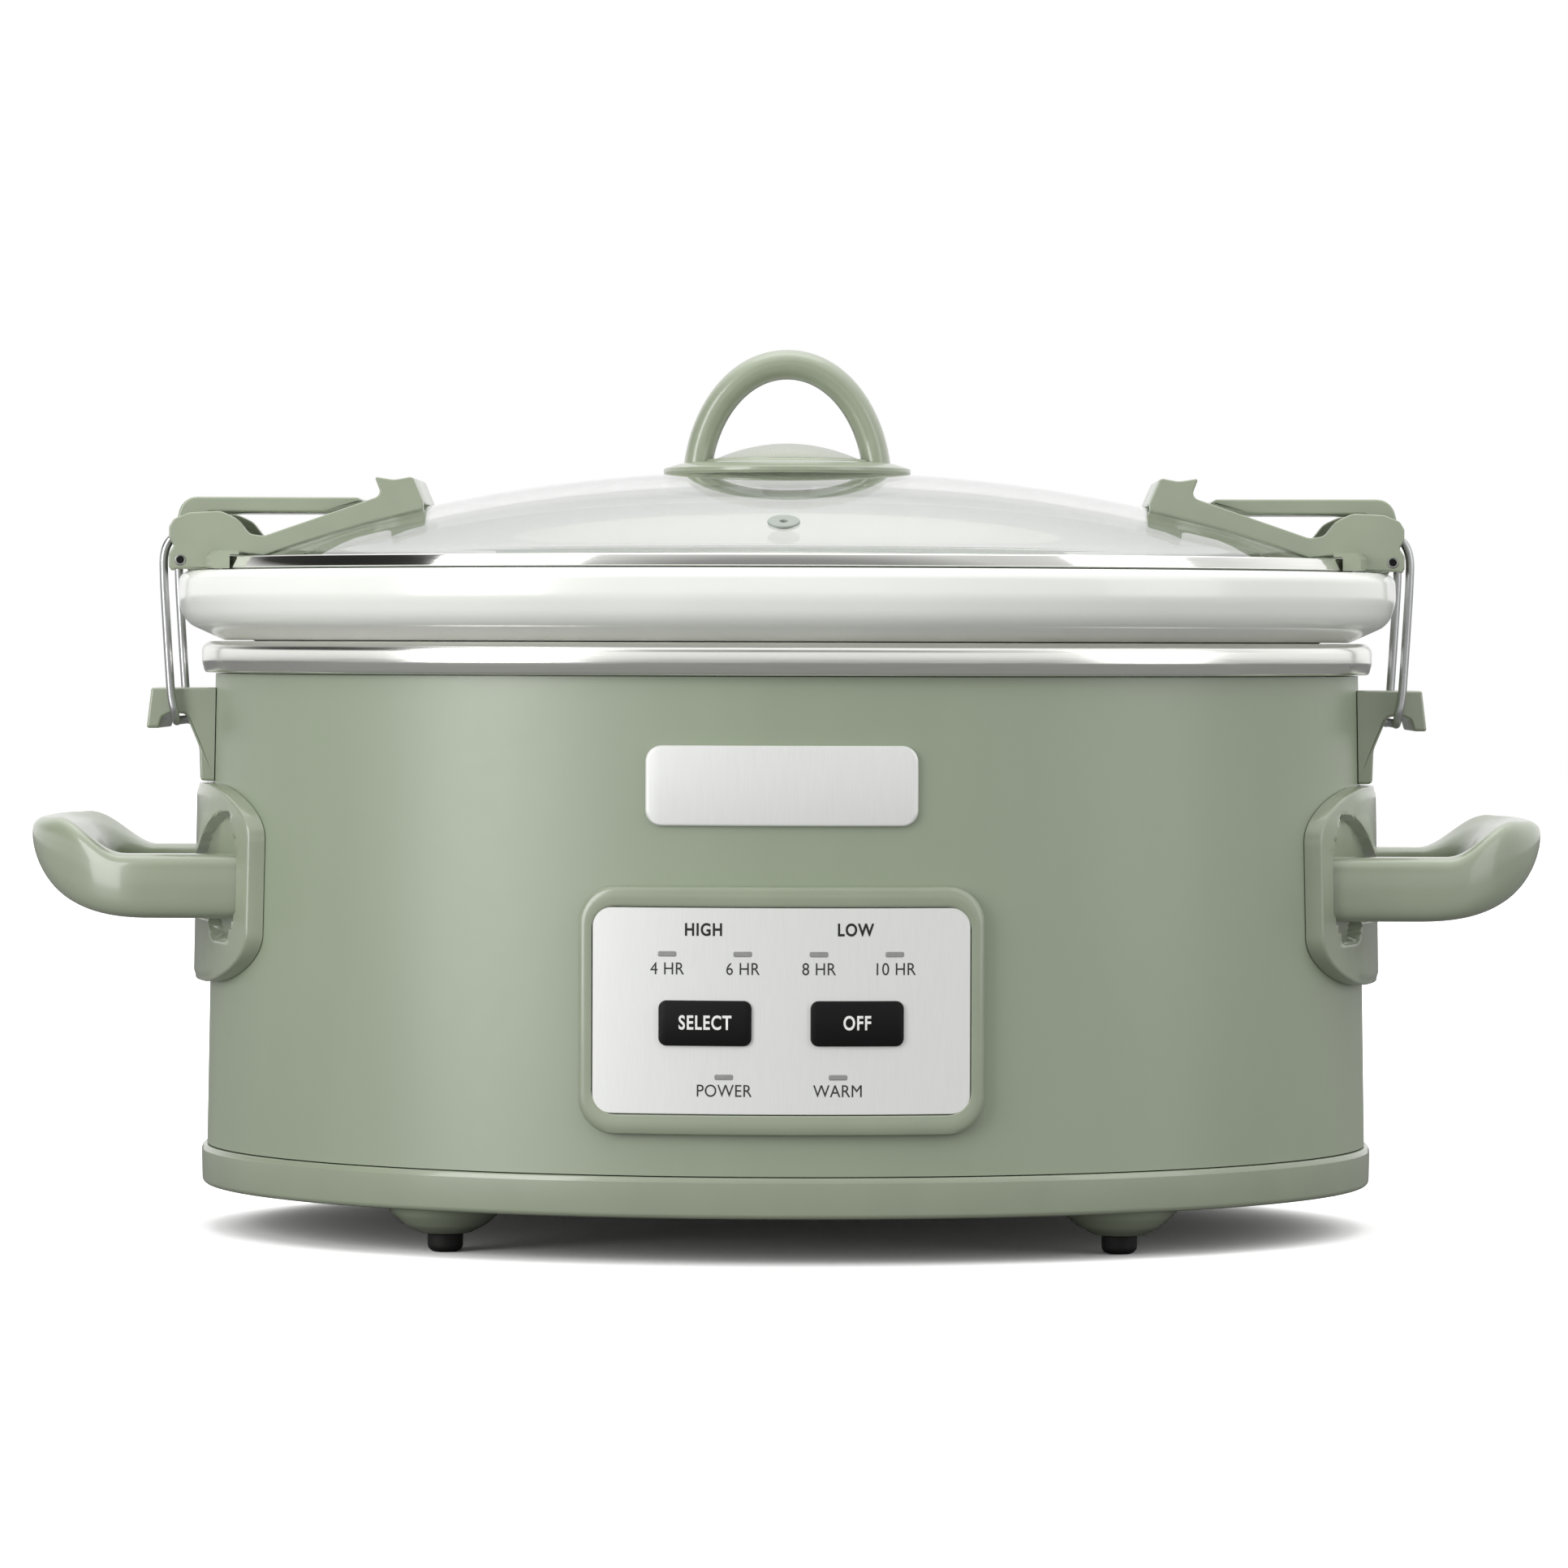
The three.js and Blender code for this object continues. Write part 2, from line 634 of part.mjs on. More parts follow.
function catchScrew() {
  const head = rod("x", 3, 163.6, 165.3, [0, CATCH_SCREW.z], 12);
  return fused(head, rod("x", CATCH_SCREW.r, 165, 168.8, [0, CATCH_SCREW.z], 10));
}

// ---------------------------------------------------------------- carrying handles

const PLATE = { half: 60, bottom: 72.6, top: 129.6, chamfer: 14, far: 3.4 };
const HANDLE_HOLES = [-HANDLE_SCREW.y, HANDLE_SCREW.y];
const LOOP = { reach: 218.5, half: 54, bar: 16, corner: 26 };

function handlePlate() {
  const { half, bottom, top, chamfer, far } = PLATE;
  const face = outline([
    [-half + chamfer, bottom],
    [half - chamfer, bottom],
    [half, bottom + chamfer],
    [half, top - chamfer],
    [half - chamfer, top],
    [-half + chamfer, top],
    [-half, top - chamfer],
    [-half, bottom + chamfer],
  ]);
  const ring = housingRing(bottom, top, GAP, far);
  const plate = common(ring, prismAlongX(face, 100, 200));
  const pocketFace = roundedRect(2 * half - 12, top - bottom - 13, 12, 0, (top + bottom) / 2);
  const pocket = common(housingRing(bottom, top, far - 1.8, far + 3), prismAlongX(pocketFace, 100, 200));
  const hole = (y) => rod("x", HANDLE_SCREW.r + GAP, 100, 200, [y, HANDLE_SCREW.z], 10);
  return cut(plate, pocket, ...HANDLE_HOLES.map(hole));
}

// Seen from above the handle is a round-cornered loop; seen from the front it rises to a blunt tip.
function sideHandle() {
  const { reach, half, bar, corner } = LOOP;
  const root = 130;
  const plan = roundedRect(reach - root, 2 * half, corner, (reach + root) / 2, 0);
  const inside = reach - bar;
  const holeStart = root + 10;
  const holeMiddle = (inside + holeStart) / 2;
  plan.holes.push(roundedRect(inside - holeStart, 2 * (half - bar), corner - 10, holeMiddle, 0));
  const side = outline([
    [root, 92],
    [187, 90.8],
    [200.8, 91.6],
    [208.8, 94.5],
    [214.3, 99],
    [217.6, 105.7],
    [218.5, 113],
    [217.2, 119.6],
    [214, 121],
    [208.5, 120.8],
    [203.4, 119.4],
    [196, 115.4],
    [188, 111.8],
    [181, 110.6],
    [root, 110.6],
  ]);
  const loop = common(prism(plan, 80, 130), prismAlongY(side, -60, 60));
  const hole = (y) => rod("x", HANDLE_SCREW.r + GAP, 100, 176, [y, HANDLE_SCREW.z], 10);
  return cut(loop, housingCore(PLATE.far - 1.8 + GAP), ...HANDLE_HOLES.map(hole));
}

function handleScrew(y) {
  const centre = [y, HANDLE_SCREW.z];
  const inner = HOUSING_TOP_OVAL * Math.sqrt(1 - (y / halfDepth(HOUSING_TOP_OVAL)) ** 2) - 4;
  const head = rod("x", 4, inner - 1.8, inner, centre, 12);
  return fused(head, rod("x", HANDLE_SCREW.r, inner - 0.2, 175.5, centre, 10));
}

// ---------------------------------------------------------------- control panel

// A front piece is an oval ring cut to a rounded outline.
function frontPiece(size, near, far, z = size.z) {
  const [bottom, top] = [z - size.height, z + size.height];
  const face = roundedRect(size.width, size.height, size.corner, size.x ?? 0, z);
  return common(housingRing(bottom, top, near, far), prismAlongY(face, -140, -80));
}

const grown = ({ width, height, corner, ...rest }, by) => {
  return { ...rest, width: width + 2 * by, height: height + 2 * by, corner: corner + by };
};

const PANEL_DEPTH = { bezel: 3.6, face: 2.3 };
const BOARD_FRONT = -117.1;

function frontOpening(size, x, z) {
  return prismAlongY(roundedRect(size.width, size.height, size.corner, x, z), -140, -80);
}

function panelBezel() {
  const opening = grown(FACE, GAP);
  return cut(frontPiece(PANEL, GAP, PANEL_DEPTH.bezel, PANEL_Z), frontOpening(opening, 0, PANEL_Z));
}

function ledPlaces() {
  const { x: hours, z: hourZ } = HOUR_LEDS;
  const { x: states, z: stateZ } = STATE_LEDS;
  return [...hours.map((x) => [x, hourZ]), ...states.map((x) => [x, stateZ])];
}

function panelFace() {
  const hole = grown(BUTTON, GAP);
  const slot = { width: LED.width + 2 * GAP, height: LED.height + 2 * GAP, corner: 0 };
  const openings = [
    frontOpening(hole, -BUTTON.x, BUTTON.z),
    frontOpening(hole, BUTTON.x, BUTTON.z),
    ...ledPlaces().map(([x, z]) => frontOpening(slot, x, z)),
  ];
  return cut(frontPiece(FACE, GAP, PANEL_DEPTH.face, PANEL_Z), ...openings);
}

// The button's front follows the panel and its back is flat, over the switch.
function pushButton(x) {
  const back = BOARD_FRONT - 4.6;
  const bar = prismAlongY(roundedRect(BUTTON.width, BUTTON.height, BUTTON.corner, x, BUTTON.z), -140, back);
  return common(bar, housingCore(PANEL_DEPTH.face + 1.1));
}

function lightPipe(x, z) {
  const bar = prismAlongY(roundedRect(LED.width, LED.height, 0.4, x, z), -140, BOARD_FRONT - GAP);
  return common(bar, housingCore(PANEL_DEPTH.face));
}

function tactSwitch(x) {
  const body = block([x - 3, x + 3], [BOARD_FRONT - 2.6, BOARD_FRONT - GAP], [BUTTON.z - 3, BUTTON.z + 3]);
  const plunger = rod("y", 1.7, BOARD_FRONT - 3.4, BOARD_FRONT - 2.5, [x, BUTTON.z], 12);
  return fused(body, plunger);
}

// ---------------------------------------------------------------- cord gland

function cordGland() {
  const wall = halfDepth(housingOval(GLAND.z));
  const { bore, shaft, z } = GLAND;
  const inside = wall - SHEET;
  const profile = [
    [bore, inside - 5],
    [8.4, inside - 5],
    [8.4, inside - 1.2],
    [shaft, inside - 1.2],
    [shaft, wall + 0.5],
    [9.5, wall + 0.5],
    [9.5, wall + 2.6],
    [6.4, wall + 4],
    [5.2, wall + 9.5],
    [bore, wall + 9.5],
  ];
  return turned(profile).rotateX(-Math.PI / 2).translate(0, 0, z);
}

// ---------------------------------------------------------------- the cooker

add("outer_housing", outerHousing(), "sagePaint");
add("housing_rim", housingRim(), "steel");
add("heating_well", heatingWell(), "aluminium");
add("heater_band", heaterBand(), "mica");
add("base_pan", basePan(), "sage");
for (const [end, x] of [["left", -FOOT.x], ["right", FOOT.x]]) {
  for (const [row, y] of [["front", -FOOT.y], ["rear", FOOT.y]]) {
    const foot = mesh(`rubber_foot_${row}_${end}`, rubberFoot(), "rubber");
    foot.position.set(x, y, 0);
    cooker.add(foot);
  }
}
add("tie_stud", rod("z", STUD, 7, WELL_FLOOR - WELL_SHEET - GAP, [0, 0]), "darkSteel");
add("tie_nut", hexNut(), "darkSteel");
add("thermal_fuse", rod("x", 2.4, -46, -30, [-30, 38.5]), "steel");
add("temperature_sensor", rod("z", 8, 35.5, WELL_FLOOR - WELL_SHEET - GAP, [42, -30]), "black");
add("power_board", block([30, 92], [10, 52], [20, 21.6]), "board");
add("power_relay", block([38, 58], [18, 34], [21.9, 36]), "black");
add("cord_gland", cordGland(), "black");

add("panel_bezel", panelBezel(), "sage");
add("panel_face", panelFace(), "aluminium");
add("select_button", pushButton(-BUTTON.x), "black");
add("off_button", pushButton(BUTTON.x), "black");
ledPlaces().forEach(([x, z], i) => add(`light_pipe_${i + 1}`, lightPipe(x, z), "lens"));
add("control_board", block([-43, 43], [BOARD_FRONT, BOARD_FRONT + 1.6], [47, 93]), "board");
add("heat_shield", block([-46, 46], [BOARD_FRONT + 2.6, BOARD_FRONT + 3.1], [44, 97]), "darkSteel");
add("select_switch", tactSwitch(-BUTTON.x), "black");
add("off_switch", tactSwitch(BUTTON.x), "black");
add("badge_plate", frontPiece(BADGE, GAP, 1.5), "aluminium");

addToEnds("handle_plate", handlePlate(), "sage");
addToEnds("side_handle", sideHandle(), "sage");
addToEnds("handle_screw_a", handleScrew(-HANDLE_SCREW.y), "darkSteel");
addToEnds("handle_screw_b", handleScrew(HANDLE_SCREW.y), "darkSteel");
addToEnds("latch_catch", latchCatch(), "sage");
addToEnds("catch_screw", catchScrew(), "darkSteel");

add("stoneware_crock", stonewareCrock(), "stoneware");

add("lid_glass", lidGlass(), "glass");
add("lid_rim_band", lidRimBand(), "steel");
add("lid_gasket", lidGasket(), "silicone");
add("lid_handle", lidHandle(), "sage");
add("handle_cap", handleCap(), "aluminium");
add("lid_handle_screw", lidHandleScrew(), "steel");
add("vent_grommet", ventGrommet(), "silicone");

addToEnds("latch_frame", latchFrame(), "sage");
addToEnds("latch_pin", latchPin(), "darkSteel");
addToEnds("latch_lever", latchLever(), "sage");
addToEnds("latch_bail", latchBail(), "steel");

export default cooker;
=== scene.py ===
"""Looks of the oval slow cooker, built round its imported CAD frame.

Metres, +Z up, control panel on -Y. Everything round the body follows one family of ovals. An oval
is named by its half-width along X, as in the CAD.
"""
import json
import math

import bmesh
import bpy
import numpy as np
from mathutils import Matrix, Vector
from mathutils.geometry import tessellate_polygon


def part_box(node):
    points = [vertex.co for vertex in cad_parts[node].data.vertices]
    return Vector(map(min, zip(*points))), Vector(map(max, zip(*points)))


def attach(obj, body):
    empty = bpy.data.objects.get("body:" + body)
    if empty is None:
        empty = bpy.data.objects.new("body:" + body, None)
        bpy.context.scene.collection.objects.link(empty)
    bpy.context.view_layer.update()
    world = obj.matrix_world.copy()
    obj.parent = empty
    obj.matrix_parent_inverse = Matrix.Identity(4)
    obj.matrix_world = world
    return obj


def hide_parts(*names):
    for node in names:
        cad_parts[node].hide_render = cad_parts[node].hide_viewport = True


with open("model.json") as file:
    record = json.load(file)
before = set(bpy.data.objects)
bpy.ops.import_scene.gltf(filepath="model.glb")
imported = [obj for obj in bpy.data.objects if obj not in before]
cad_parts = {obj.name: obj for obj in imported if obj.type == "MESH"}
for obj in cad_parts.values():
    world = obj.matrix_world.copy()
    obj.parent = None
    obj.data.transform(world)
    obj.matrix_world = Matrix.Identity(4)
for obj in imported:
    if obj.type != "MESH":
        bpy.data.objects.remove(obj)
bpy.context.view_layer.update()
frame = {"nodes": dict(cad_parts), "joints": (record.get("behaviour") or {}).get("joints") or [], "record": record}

MM = 0.001

# ---------------- sizes taken from the frame


def box_of(node):
    """A node's lowest and highest corners, as two plain vectors."""
    low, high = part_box(node)
    return Vector(low), Vector(high)


HOUSING_LOW, HOUSING_HIGH = box_of("outer_housing")
CROCK_LOW, CROCK_HIGH = box_of("stoneware_crock")
RIM_LOW, RIM_HIGH = box_of("housing_rim")
BAND_LOW, BAND_HIGH = box_of("lid_rim_band")
GLASS_LOW, GLASS_HIGH = box_of("lid_glass")
WELL_LOW, WELL_HIGH = box_of("heating_well")
PLATE_LOW, PLATE_HIGH = box_of("handle_plate_right")
PAN_HIGH = box_of("base_pan")[1]
GASKET_LOW = box_of("lid_gasket")[0]
ARCH_HIGH = box_of("lid_handle")[1]
LOOP_HIGH = box_of("side_handle_right")[1]
LEVER_HALF = box_of("latch_lever_right")[1].y
CATCH_HALF = box_of("latch_catch_right")[1].y

JOINTS = {joint["name"]: joint for joint in frame["joints"]}
PIVOT = Vector(JOINTS["lever_turn_right"]["pos_m"])
BAIL_PIVOT = Vector(JOINTS["bail_turn_right"]["pos_m"])

DEPTH_LESS = 43 * MM  # an oval's half-depth is its half-width less this
PROPORTIONAL_INSIDE = 150 * MM  # smaller ovals keep the proportions of this one
AROUND = 240  # steps round a full oval
WELD = 0.002 * MM  # vertices nearer than this are one
TAPER = 2.4 * MM  # how much narrower the housing is at its top than at its foot
HOUSING_FOOT = HOUSING_HIGH.x
DOME_OVAL = 158 * MM  # where the glass's dome meets its rim
DOME_TOP = GLASS_HIGH.z
DOME_DROP = 26.6 * MM  # how far the dome falls from its top to its rim
DOME_POWER = 2.25  # 2 would be a parabola
GLASS_THICK = 3.6 * MM

# ---------------- materials


def linear(red, green, blue):
    """A screen colour, 0 to 255, as the linear colour that a shader wants."""
    def one(value):
        value /= 255
        return value / 12.92 if value <= 0.04045 else ((value + 0.055) / 1.055) ** 2.4
    return (one(red), one(green), one(blue), 1.0)


class Finish:
    """A Principled material, with helpers that add procedural detail to it."""

    def __init__(self, name, colour, roughness, **settings):
        self.material = bpy.data.materials.new(name)
        self.material.use_nodes = True
        self.nodes = self.material.node_tree.nodes
        self.links = self.material.node_tree.links
        self.shader = self.nodes["Principled BSDF"]
        self.colour = colour
        self.shader.inputs["Base Color"].default_value = colour
        self.shader.inputs["Roughness"].default_value = roughness
        for socket, value in settings.items():
            self.shader.inputs[socket.replace("_", " ")].default_value = value
        self.place = self.nodes.new("ShaderNodeTexCoord").outputs["Object"]

    def noise(self, scale, stretch=(1, 1, 1), detail=3.0):
        """Noise of so many waves a metre, stretched along the axes."""
        mapping = self.nodes.new("ShaderNodeMapping")
        mapping.inputs["Scale"].default_value = stretch
        self.links.new(self.place, mapping.inputs["Vector"])
        noise = self.nodes.new("ShaderNodeTexNoise")
        noise.inputs["Scale"].default_value = scale
        noise.inputs["Detail"].default_value = detail
        self.links.new(mapping.outputs["Vector"], noise.inputs["Vector"])
        return noise.outputs["Fac"]

    def ramp(self, value, low, high, start=0.3, end=0.7):
        """A value turned into a colour between two others."""
        ramp = self.nodes.new("ShaderNodeValToRGB")
        ramp.color_ramp.elements[0].position = start
        ramp.color_ramp.elements[1].position = end
        ramp.color_ramp.elements[0].color = low
        ramp.color_ramp.elements[1].color = high
        self.links.new(value, ramp.inputs["Fac"])
        return ramp.outputs["Color"]

    def span(self, value, low, high):
        """A value between 0 and 1 spread between two numbers."""
        spread = self.nodes.new("ShaderNodeMapRange")
        spread.inputs["To Min"].default_value = low
        spread.inputs["To Max"].default_value = high
        self.links.new(value, spread.inputs["Value"])
        return spread.outputs["Result"]

    def mottle(self, value, amount):
        """Varies the base colour a little either way."""
        low = tuple(c * (1 - amount) for c in self.colour[:3]) + (1,)
        high = tuple(min(1, c * (1 + amount)) for c in self.colour[:3]) + (1,)
        self.links.new(self.ramp(value, low, high), self.shader.inputs["Base Color"])
        return self

    def vary_roughness(self, value, low, high):
        self.links.new(self.span(value, low, high), self.shader.inputs["Roughness"])
        return self

    def bump(self, value, strength, distance):
        bump = self.nodes.new("ShaderNodeBump")
        bump.inputs["Strength"].default_value = strength
        bump.inputs["Distance"].default_value = distance
        self.links.new(value, bump.inputs["Height"])
        self.links.new(bump.outputs["Normal"], self.shader.inputs["Normal"])
        return self


def sage_paint():
    finish = Finish("sage_paint", linear(149, 161, 137), 0.42, Specular_IOR_Level=0.9, Coat_Weight=0.3,
                    Coat_Roughness=0.35)
    finish.mottle(finish.noise(35, (1, 1, 0.25)), 0.025)
    finish.vary_roughness(finish.noise(240), 0.38, 0.46)
    return finish.bump(finish.noise(900, detail=1.0), 0.12, 0.05 * MM).material


def sage_plastic():
    finish = Finish("sage_plastic", linear(152, 161, 139), 0.34, Specular_IOR_Level=0.6, Coat_Weight=0.7,
                    Coat_Roughness=0.1)
    finish.mottle(finish.noise(60), 0.03)
    finish.vary_roughness(finish.noise(420), 0.3, 0.4)
    return finish.bump(finish.noise(1400, detail=2.0), 0.08, 0.03 * MM).material


def polished_steel():
    finish = Finish("polished_steel", linear(243, 243, 238), 0.16, Metallic=1.0)
    brushed = finish.noise(60, (1, 1, 40))
    finish.mottle(brushed, 0.03)
    finish.vary_roughness(brushed, 0.14, 0.26)
    return finish.bump(brushed, 0.05, 0.02 * MM).material


def mirror_steel():
    finish = Finish("mirror_steel", linear(240, 240, 236), 0.08, Metallic=1.0)
    brushed = finish.noise(60, (1, 1, 40))
    finish.mottle(brushed, 0.02)
    return finish.vary_roughness(brushed, 0.06, 0.11).material


def wire_steel():
    finish = Finish("wire_steel", linear(186, 187, 187), 0.32, Metallic=1.0)
    finish.vary_roughness(finish.noise(120, (1, 1, 0.2)), 0.3, 0.36)
    return finish.mottle(finish.noise(60), 0.04).material


def plated_steel():
    finish = Finish("plated_steel", linear(150, 152, 150), 0.4, Metallic=1.0)
    finish.mottle(finish.noise(300), 0.12)
    return finish.vary_roughness(finish.noise(500), 0.3, 0.5).material


def drawn_aluminium():
    finish = Finish("drawn_aluminium", linear(205, 206, 204), 0.4, Metallic=0.9)
    streaks = finish.noise(90, (1, 1, 14))
    finish.mottle(streaks, 0.06)
    return finish.vary_roughness(streaks, 0.32, 0.5).material


def silver_overlay():
    """The panel's pale silver film, with fine upright brushing."""
    finish = Finish("silver_overlay", linear(238, 239, 236), 0.45, Metallic=0.25)
    brushed = finish.noise(110, (30, 30, 1))
    finish.mottle(brushed, 0.02)
    finish.vary_roughness(brushed, 0.38, 0.52)
    return finish.bump(brushed, 0.04, 0.02 * MM).material


# The handle's sage plastic made paler for the cap: a painted reflection of the white surroundings, which the cap's
# low dome catches at a grazing angle.
def pearl_cap():
    finish = Finish("pearl_cap", linear(170, 175, 160), 0.28, Coat_Weight=0.4, Coat_Roughness=0.15)
    finish.mottle(finish.noise(80), 0.02)
    return finish.vary_roughness(finish.noise(500), 0.24, 0.34).material


def white_glaze():
    finish = Finish("white_glaze", linear(248, 250, 244), 0.2, Coat_Weight=0.4, Coat_Roughness=0.08)
    finish.mottle(finish.noise(22, (1, 1, 2.5)), 0.02)
    finish.vary_roughness(finish.noise(150), 0.18, 0.28)
    return finish.bump(finish.noise(70, (1, 1, 2)), 0.08, 0.12 * MM).material


def clear_glass():
    """Clear glass that lets the lamps' light through to what lies under it."""
    finish = Finish("clear_glass", (0.83, 0.838, 0.822, 1), 0.02, IOR=1.12, Transmission_Weight=1.0,
                    Coat_Weight=1.0, Coat_IOR=1.5)
    finish.bump(finish.noise(18), 0.02, 0.1 * MM)
    finish.mottle(finish.noise(12), 0.008)
    rays = finish.nodes.new("ShaderNodeLightPath").outputs["Is Shadow Ray"]
    through = finish.nodes.new("ShaderNodeBsdfTransparent")
    through.inputs["Color"].default_value = (0.93, 0.94, 0.93, 1)
    either = finish.nodes.new("ShaderNodeMixShader")
    finish.links.new(rays, either.inputs["Fac"])
    finish.links.new(finish.shader.outputs["BSDF"], either.inputs[1])
    finish.links.new(through.outputs["BSDF"], either.inputs[2])
    finish.links.new(either.outputs["Shader"], finish.nodes["Material Output"].inputs["Surface"])
    return finish.material


def silicone():
    finish = Finish("silicone", linear(156, 164, 156), 0.55)
    finish.mottle(finish.noise(150), 0.05)
    return finish.bump(finish.noise(1200), 0.1, 0.05 * MM).material


def black_rubber():
    finish = Finish("black_rubber", linear(9, 9, 7), 0.7)
    finish.mottle(finish.noise(400), 0.3)
    return finish.bump(finish.noise(1500), 0.3, 0.08 * MM).material


def black_plastic():
    finish = Finish("black_plastic", linear(5, 5, 5), 0.5, Specular_IOR_Level=0.25)
    finish.mottle(finish.noise(500), 0.15)
    return finish.vary_roughness(finish.noise(900), 0.45, 0.6).material


def circuit_board():
    finish = Finish("circuit_board", linear(40, 86, 52), 0.4)
    tracks = finish.noise(260, (1, 0.3, 1), 1.0)
    finish.links.new(
        finish.ramp(tracks, linear(34, 78, 46), linear(70, 120, 70), 0.49, 0.51),
        finish.shader.inputs["Base Color"],
    )
    return finish.bump(tracks, 0.2, 0.05 * MM).material


def mica():
    finish = Finish("mica", linear(150, 132, 96), 0.45)
    finish.mottle(finish.noise(220, (1, 1, 3)), 0.25)
    return finish.bump(finish.noise(300), 0.2, 0.1 * MM).material


def smoky_lens():
    finish = Finish("smoky_lens", linear(150, 150, 149), 0.3)
    finish.mottle(finish.noise(700), 0.08)
    return finish.vary_roughness(finish.noise(900), 0.25, 0.4).material


def ink(name, colour):
    finish = Finish(name, colour, 0.5)
    finish.mottle(finish.noise(900), 0.06)
    return finish.material


MATERIALS = {
    "sage_paint": sage_paint(),
    "sage_plastic": sage_plastic(),
    "polished_steel": polished_steel(),
    "wire_steel": wire_steel(),
    "mirror_steel": mirror_steel(),
    "dark_steel": plated_steel(),
    "aluminium": drawn_aluminium(),
    "silver_overlay": silver_overlay(),
    "pearl_cap": pearl_cap(),
    "white_glaze": white_glaze(),
    "clear_glass": clear_glass(),
    "silicone": silicone(),
    "black_rubber": black_rubber(),
    "black_plastic": black_plastic(),
    "circuit_board": circuit_board(),
    "mica": mica(),
    "lens": smoky_lens(),
}

# ---------------- mesh helpers


def piece(name, verts, faces, body, slot, replaces=(), material=None, sharp=35.0):
    """A smooth-shaded mesh object that rides on a body and stands for CAD nodes."""
    mesh = bpy.data.meshes.new(name)
    mesh.from_pydata([tuple(v) for v in verts], [], faces)
    shaped = bmesh.new()
    shaped.from_mesh(mesh)
    bmesh.ops.remove_doubles(shaped, verts=shaped.verts, dist=WELD)
    bmesh.ops.recalc_face_normals(shaped, faces=shaped.faces)
    shaped.to_mesh(mesh)
    shaped.free()
    mesh.shade_smooth()
    mesh.set_sharp_from_angle(angle=math.radians(sharp))
    made = bpy.data.objects.new(name, mesh)
    bpy.context.scene.collection.objects.link(made)
    mesh.materials.append(MATERIALS[material or slot])
    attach(made, body)
    if replaces:
        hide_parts(*replaces)


def rounded(corners, closed=True, step=12.0):
    """An outline whose corners are (x, y, radius), with each corner turned into an arc."""
    points = []
    count = len(corners)
    for i, (x, y, radius) in enumerate(corners):
        here = np.array([x, y])
        ends = not closed and i in (0, count - 1)
        if radius <= 0 or ends:
            points.append(here)
            continue
        before = np.array(corners[i - 1][:2]) - here
        after = np.array(corners[(i + 1) % count][:2]) - here
        room = 0.49 * min(np.linalg.norm(before), np.linalg.norm(after))
        before /= np.linalg.norm(before)
        after /= np.linalg.norm(after)
        angle = math.acos(float(np.clip(before @ after, -1, 1)))
        if angle > math.radians(178):
            points.append(here)
            continue
        reach = min(radius / math.tan(angle / 2), room)
        radius = reach * math.tan(angle / 2)
        middle = (before + after) / np.linalg.norm(before + after)
        centre = here + middle * radius / math.sin(angle / 2)
        turn = math.pi - angle
        steps = max(2, math.ceil(math.degrees(turn) / step))
        first = here + before * reach - centre
        last = here + after * reach - centre
        for k in range(steps + 1):
            part = k / steps
            weight_a = math.sin((1 - part) * turn) / math.sin(turn)
            weight_b = math.sin(part * turn) / math.sin(turn)
            points.append(centre + weight_a * first + weight_b * last)
    return np.array(points)


def half_depth(oval):
    """Half the depth along Y of the oval of this half-width."""
    ratio = (PROPORTIONAL_INSIDE - DEPTH_LESS) / PROPORTIONAL_INSIDE
    return oval * ratio if oval < PROPORTIONAL_INSIDE else oval - DEPTH_LESS


def ring_faces(around, count, closed=True):
    """Faces of a profile of count points carried once round."""
    faces = []
    for step in range(around):
        here, there = step * count, (step + 1) % around * count
        for k in range(count if closed else count - 1):
            after = (k + 1) % count
            faces.append((here + k, there + k, there + after, here + after))
    return faces


def row_faces(rows, count, capped=True):
    """Faces that join rows of count points, one row after another, with a cap at either end."""
    faces = []
    for row in range(rows - 1):
        here, there = row * count, (row + 1) * count
        for k in range(count):
            after = (k + 1) % count
            faces.append((here + k, here + after, there + after, there + k))
    if capped:
        faces.append(tuple(range(count)))
        faces.append(tuple(range((rows - 1) * count, rows * count)))
    return faces


def oval_ring(profile, closed=True):
    """Vertices and faces of a profile of (oval, z) points carried round the oval."""
    verts = []
    for step in range(AROUND):
        angle = 2 * math.pi * step / AROUND
        for oval, z in profile:
            verts.append((oval * math.cos(angle), half_depth(oval) * math.sin(angle), z))
    return verts, ring_faces(AROUND, len(profile), closed)


def oval_bowl(profile):
    """An oval ring with flat faces across the middle at the first and last points of its profile."""
    verts, faces = oval_ring(profile, closed=False)
    count = len(profile)
    for end in (0, count - 1):
        faces.append(tuple(step * count + end for step in range(AROUND)))
    return verts, faces


def turned(profile, around=48, centre=(0, 0)):
    """Vertices and faces of an open profile of (radius, z) points that starts and ends on the axis."""
    verts = []
    on_axis = 0.0001 * MM
    inner = [p for p in profile if p[0] > on_axis]
    count = len(inner)
    for step in range(around):
        angle = 2 * math.pi * step / around
        for radius, z in inner:
            verts.append((centre[0] + radius * math.cos(angle), centre[1] + radius * math.sin(angle), z))
    faces = ring_faces(around, count, closed=False)
    for end, k in ((profile[0], 0), (profile[-1], count - 1)):
        if end[0] <= on_axis:
            verts.append((centre[0], centre[1], end[1]))
            tip = len(verts) - 1
            for step in range(around):
                faces.append((step * count + k, (step + 1) % around * count + k, tip))
    return verts, faces


def joined(*parts):
    """Several (verts, faces) pairs as one."""
    verts, faces = [], []
    for more_verts, more_faces in parts:
        offset = len(verts)
        verts.extend(more_verts)
        faces.extend(tuple(i + offset for i in face) for face in more_faces)
    return verts, faces


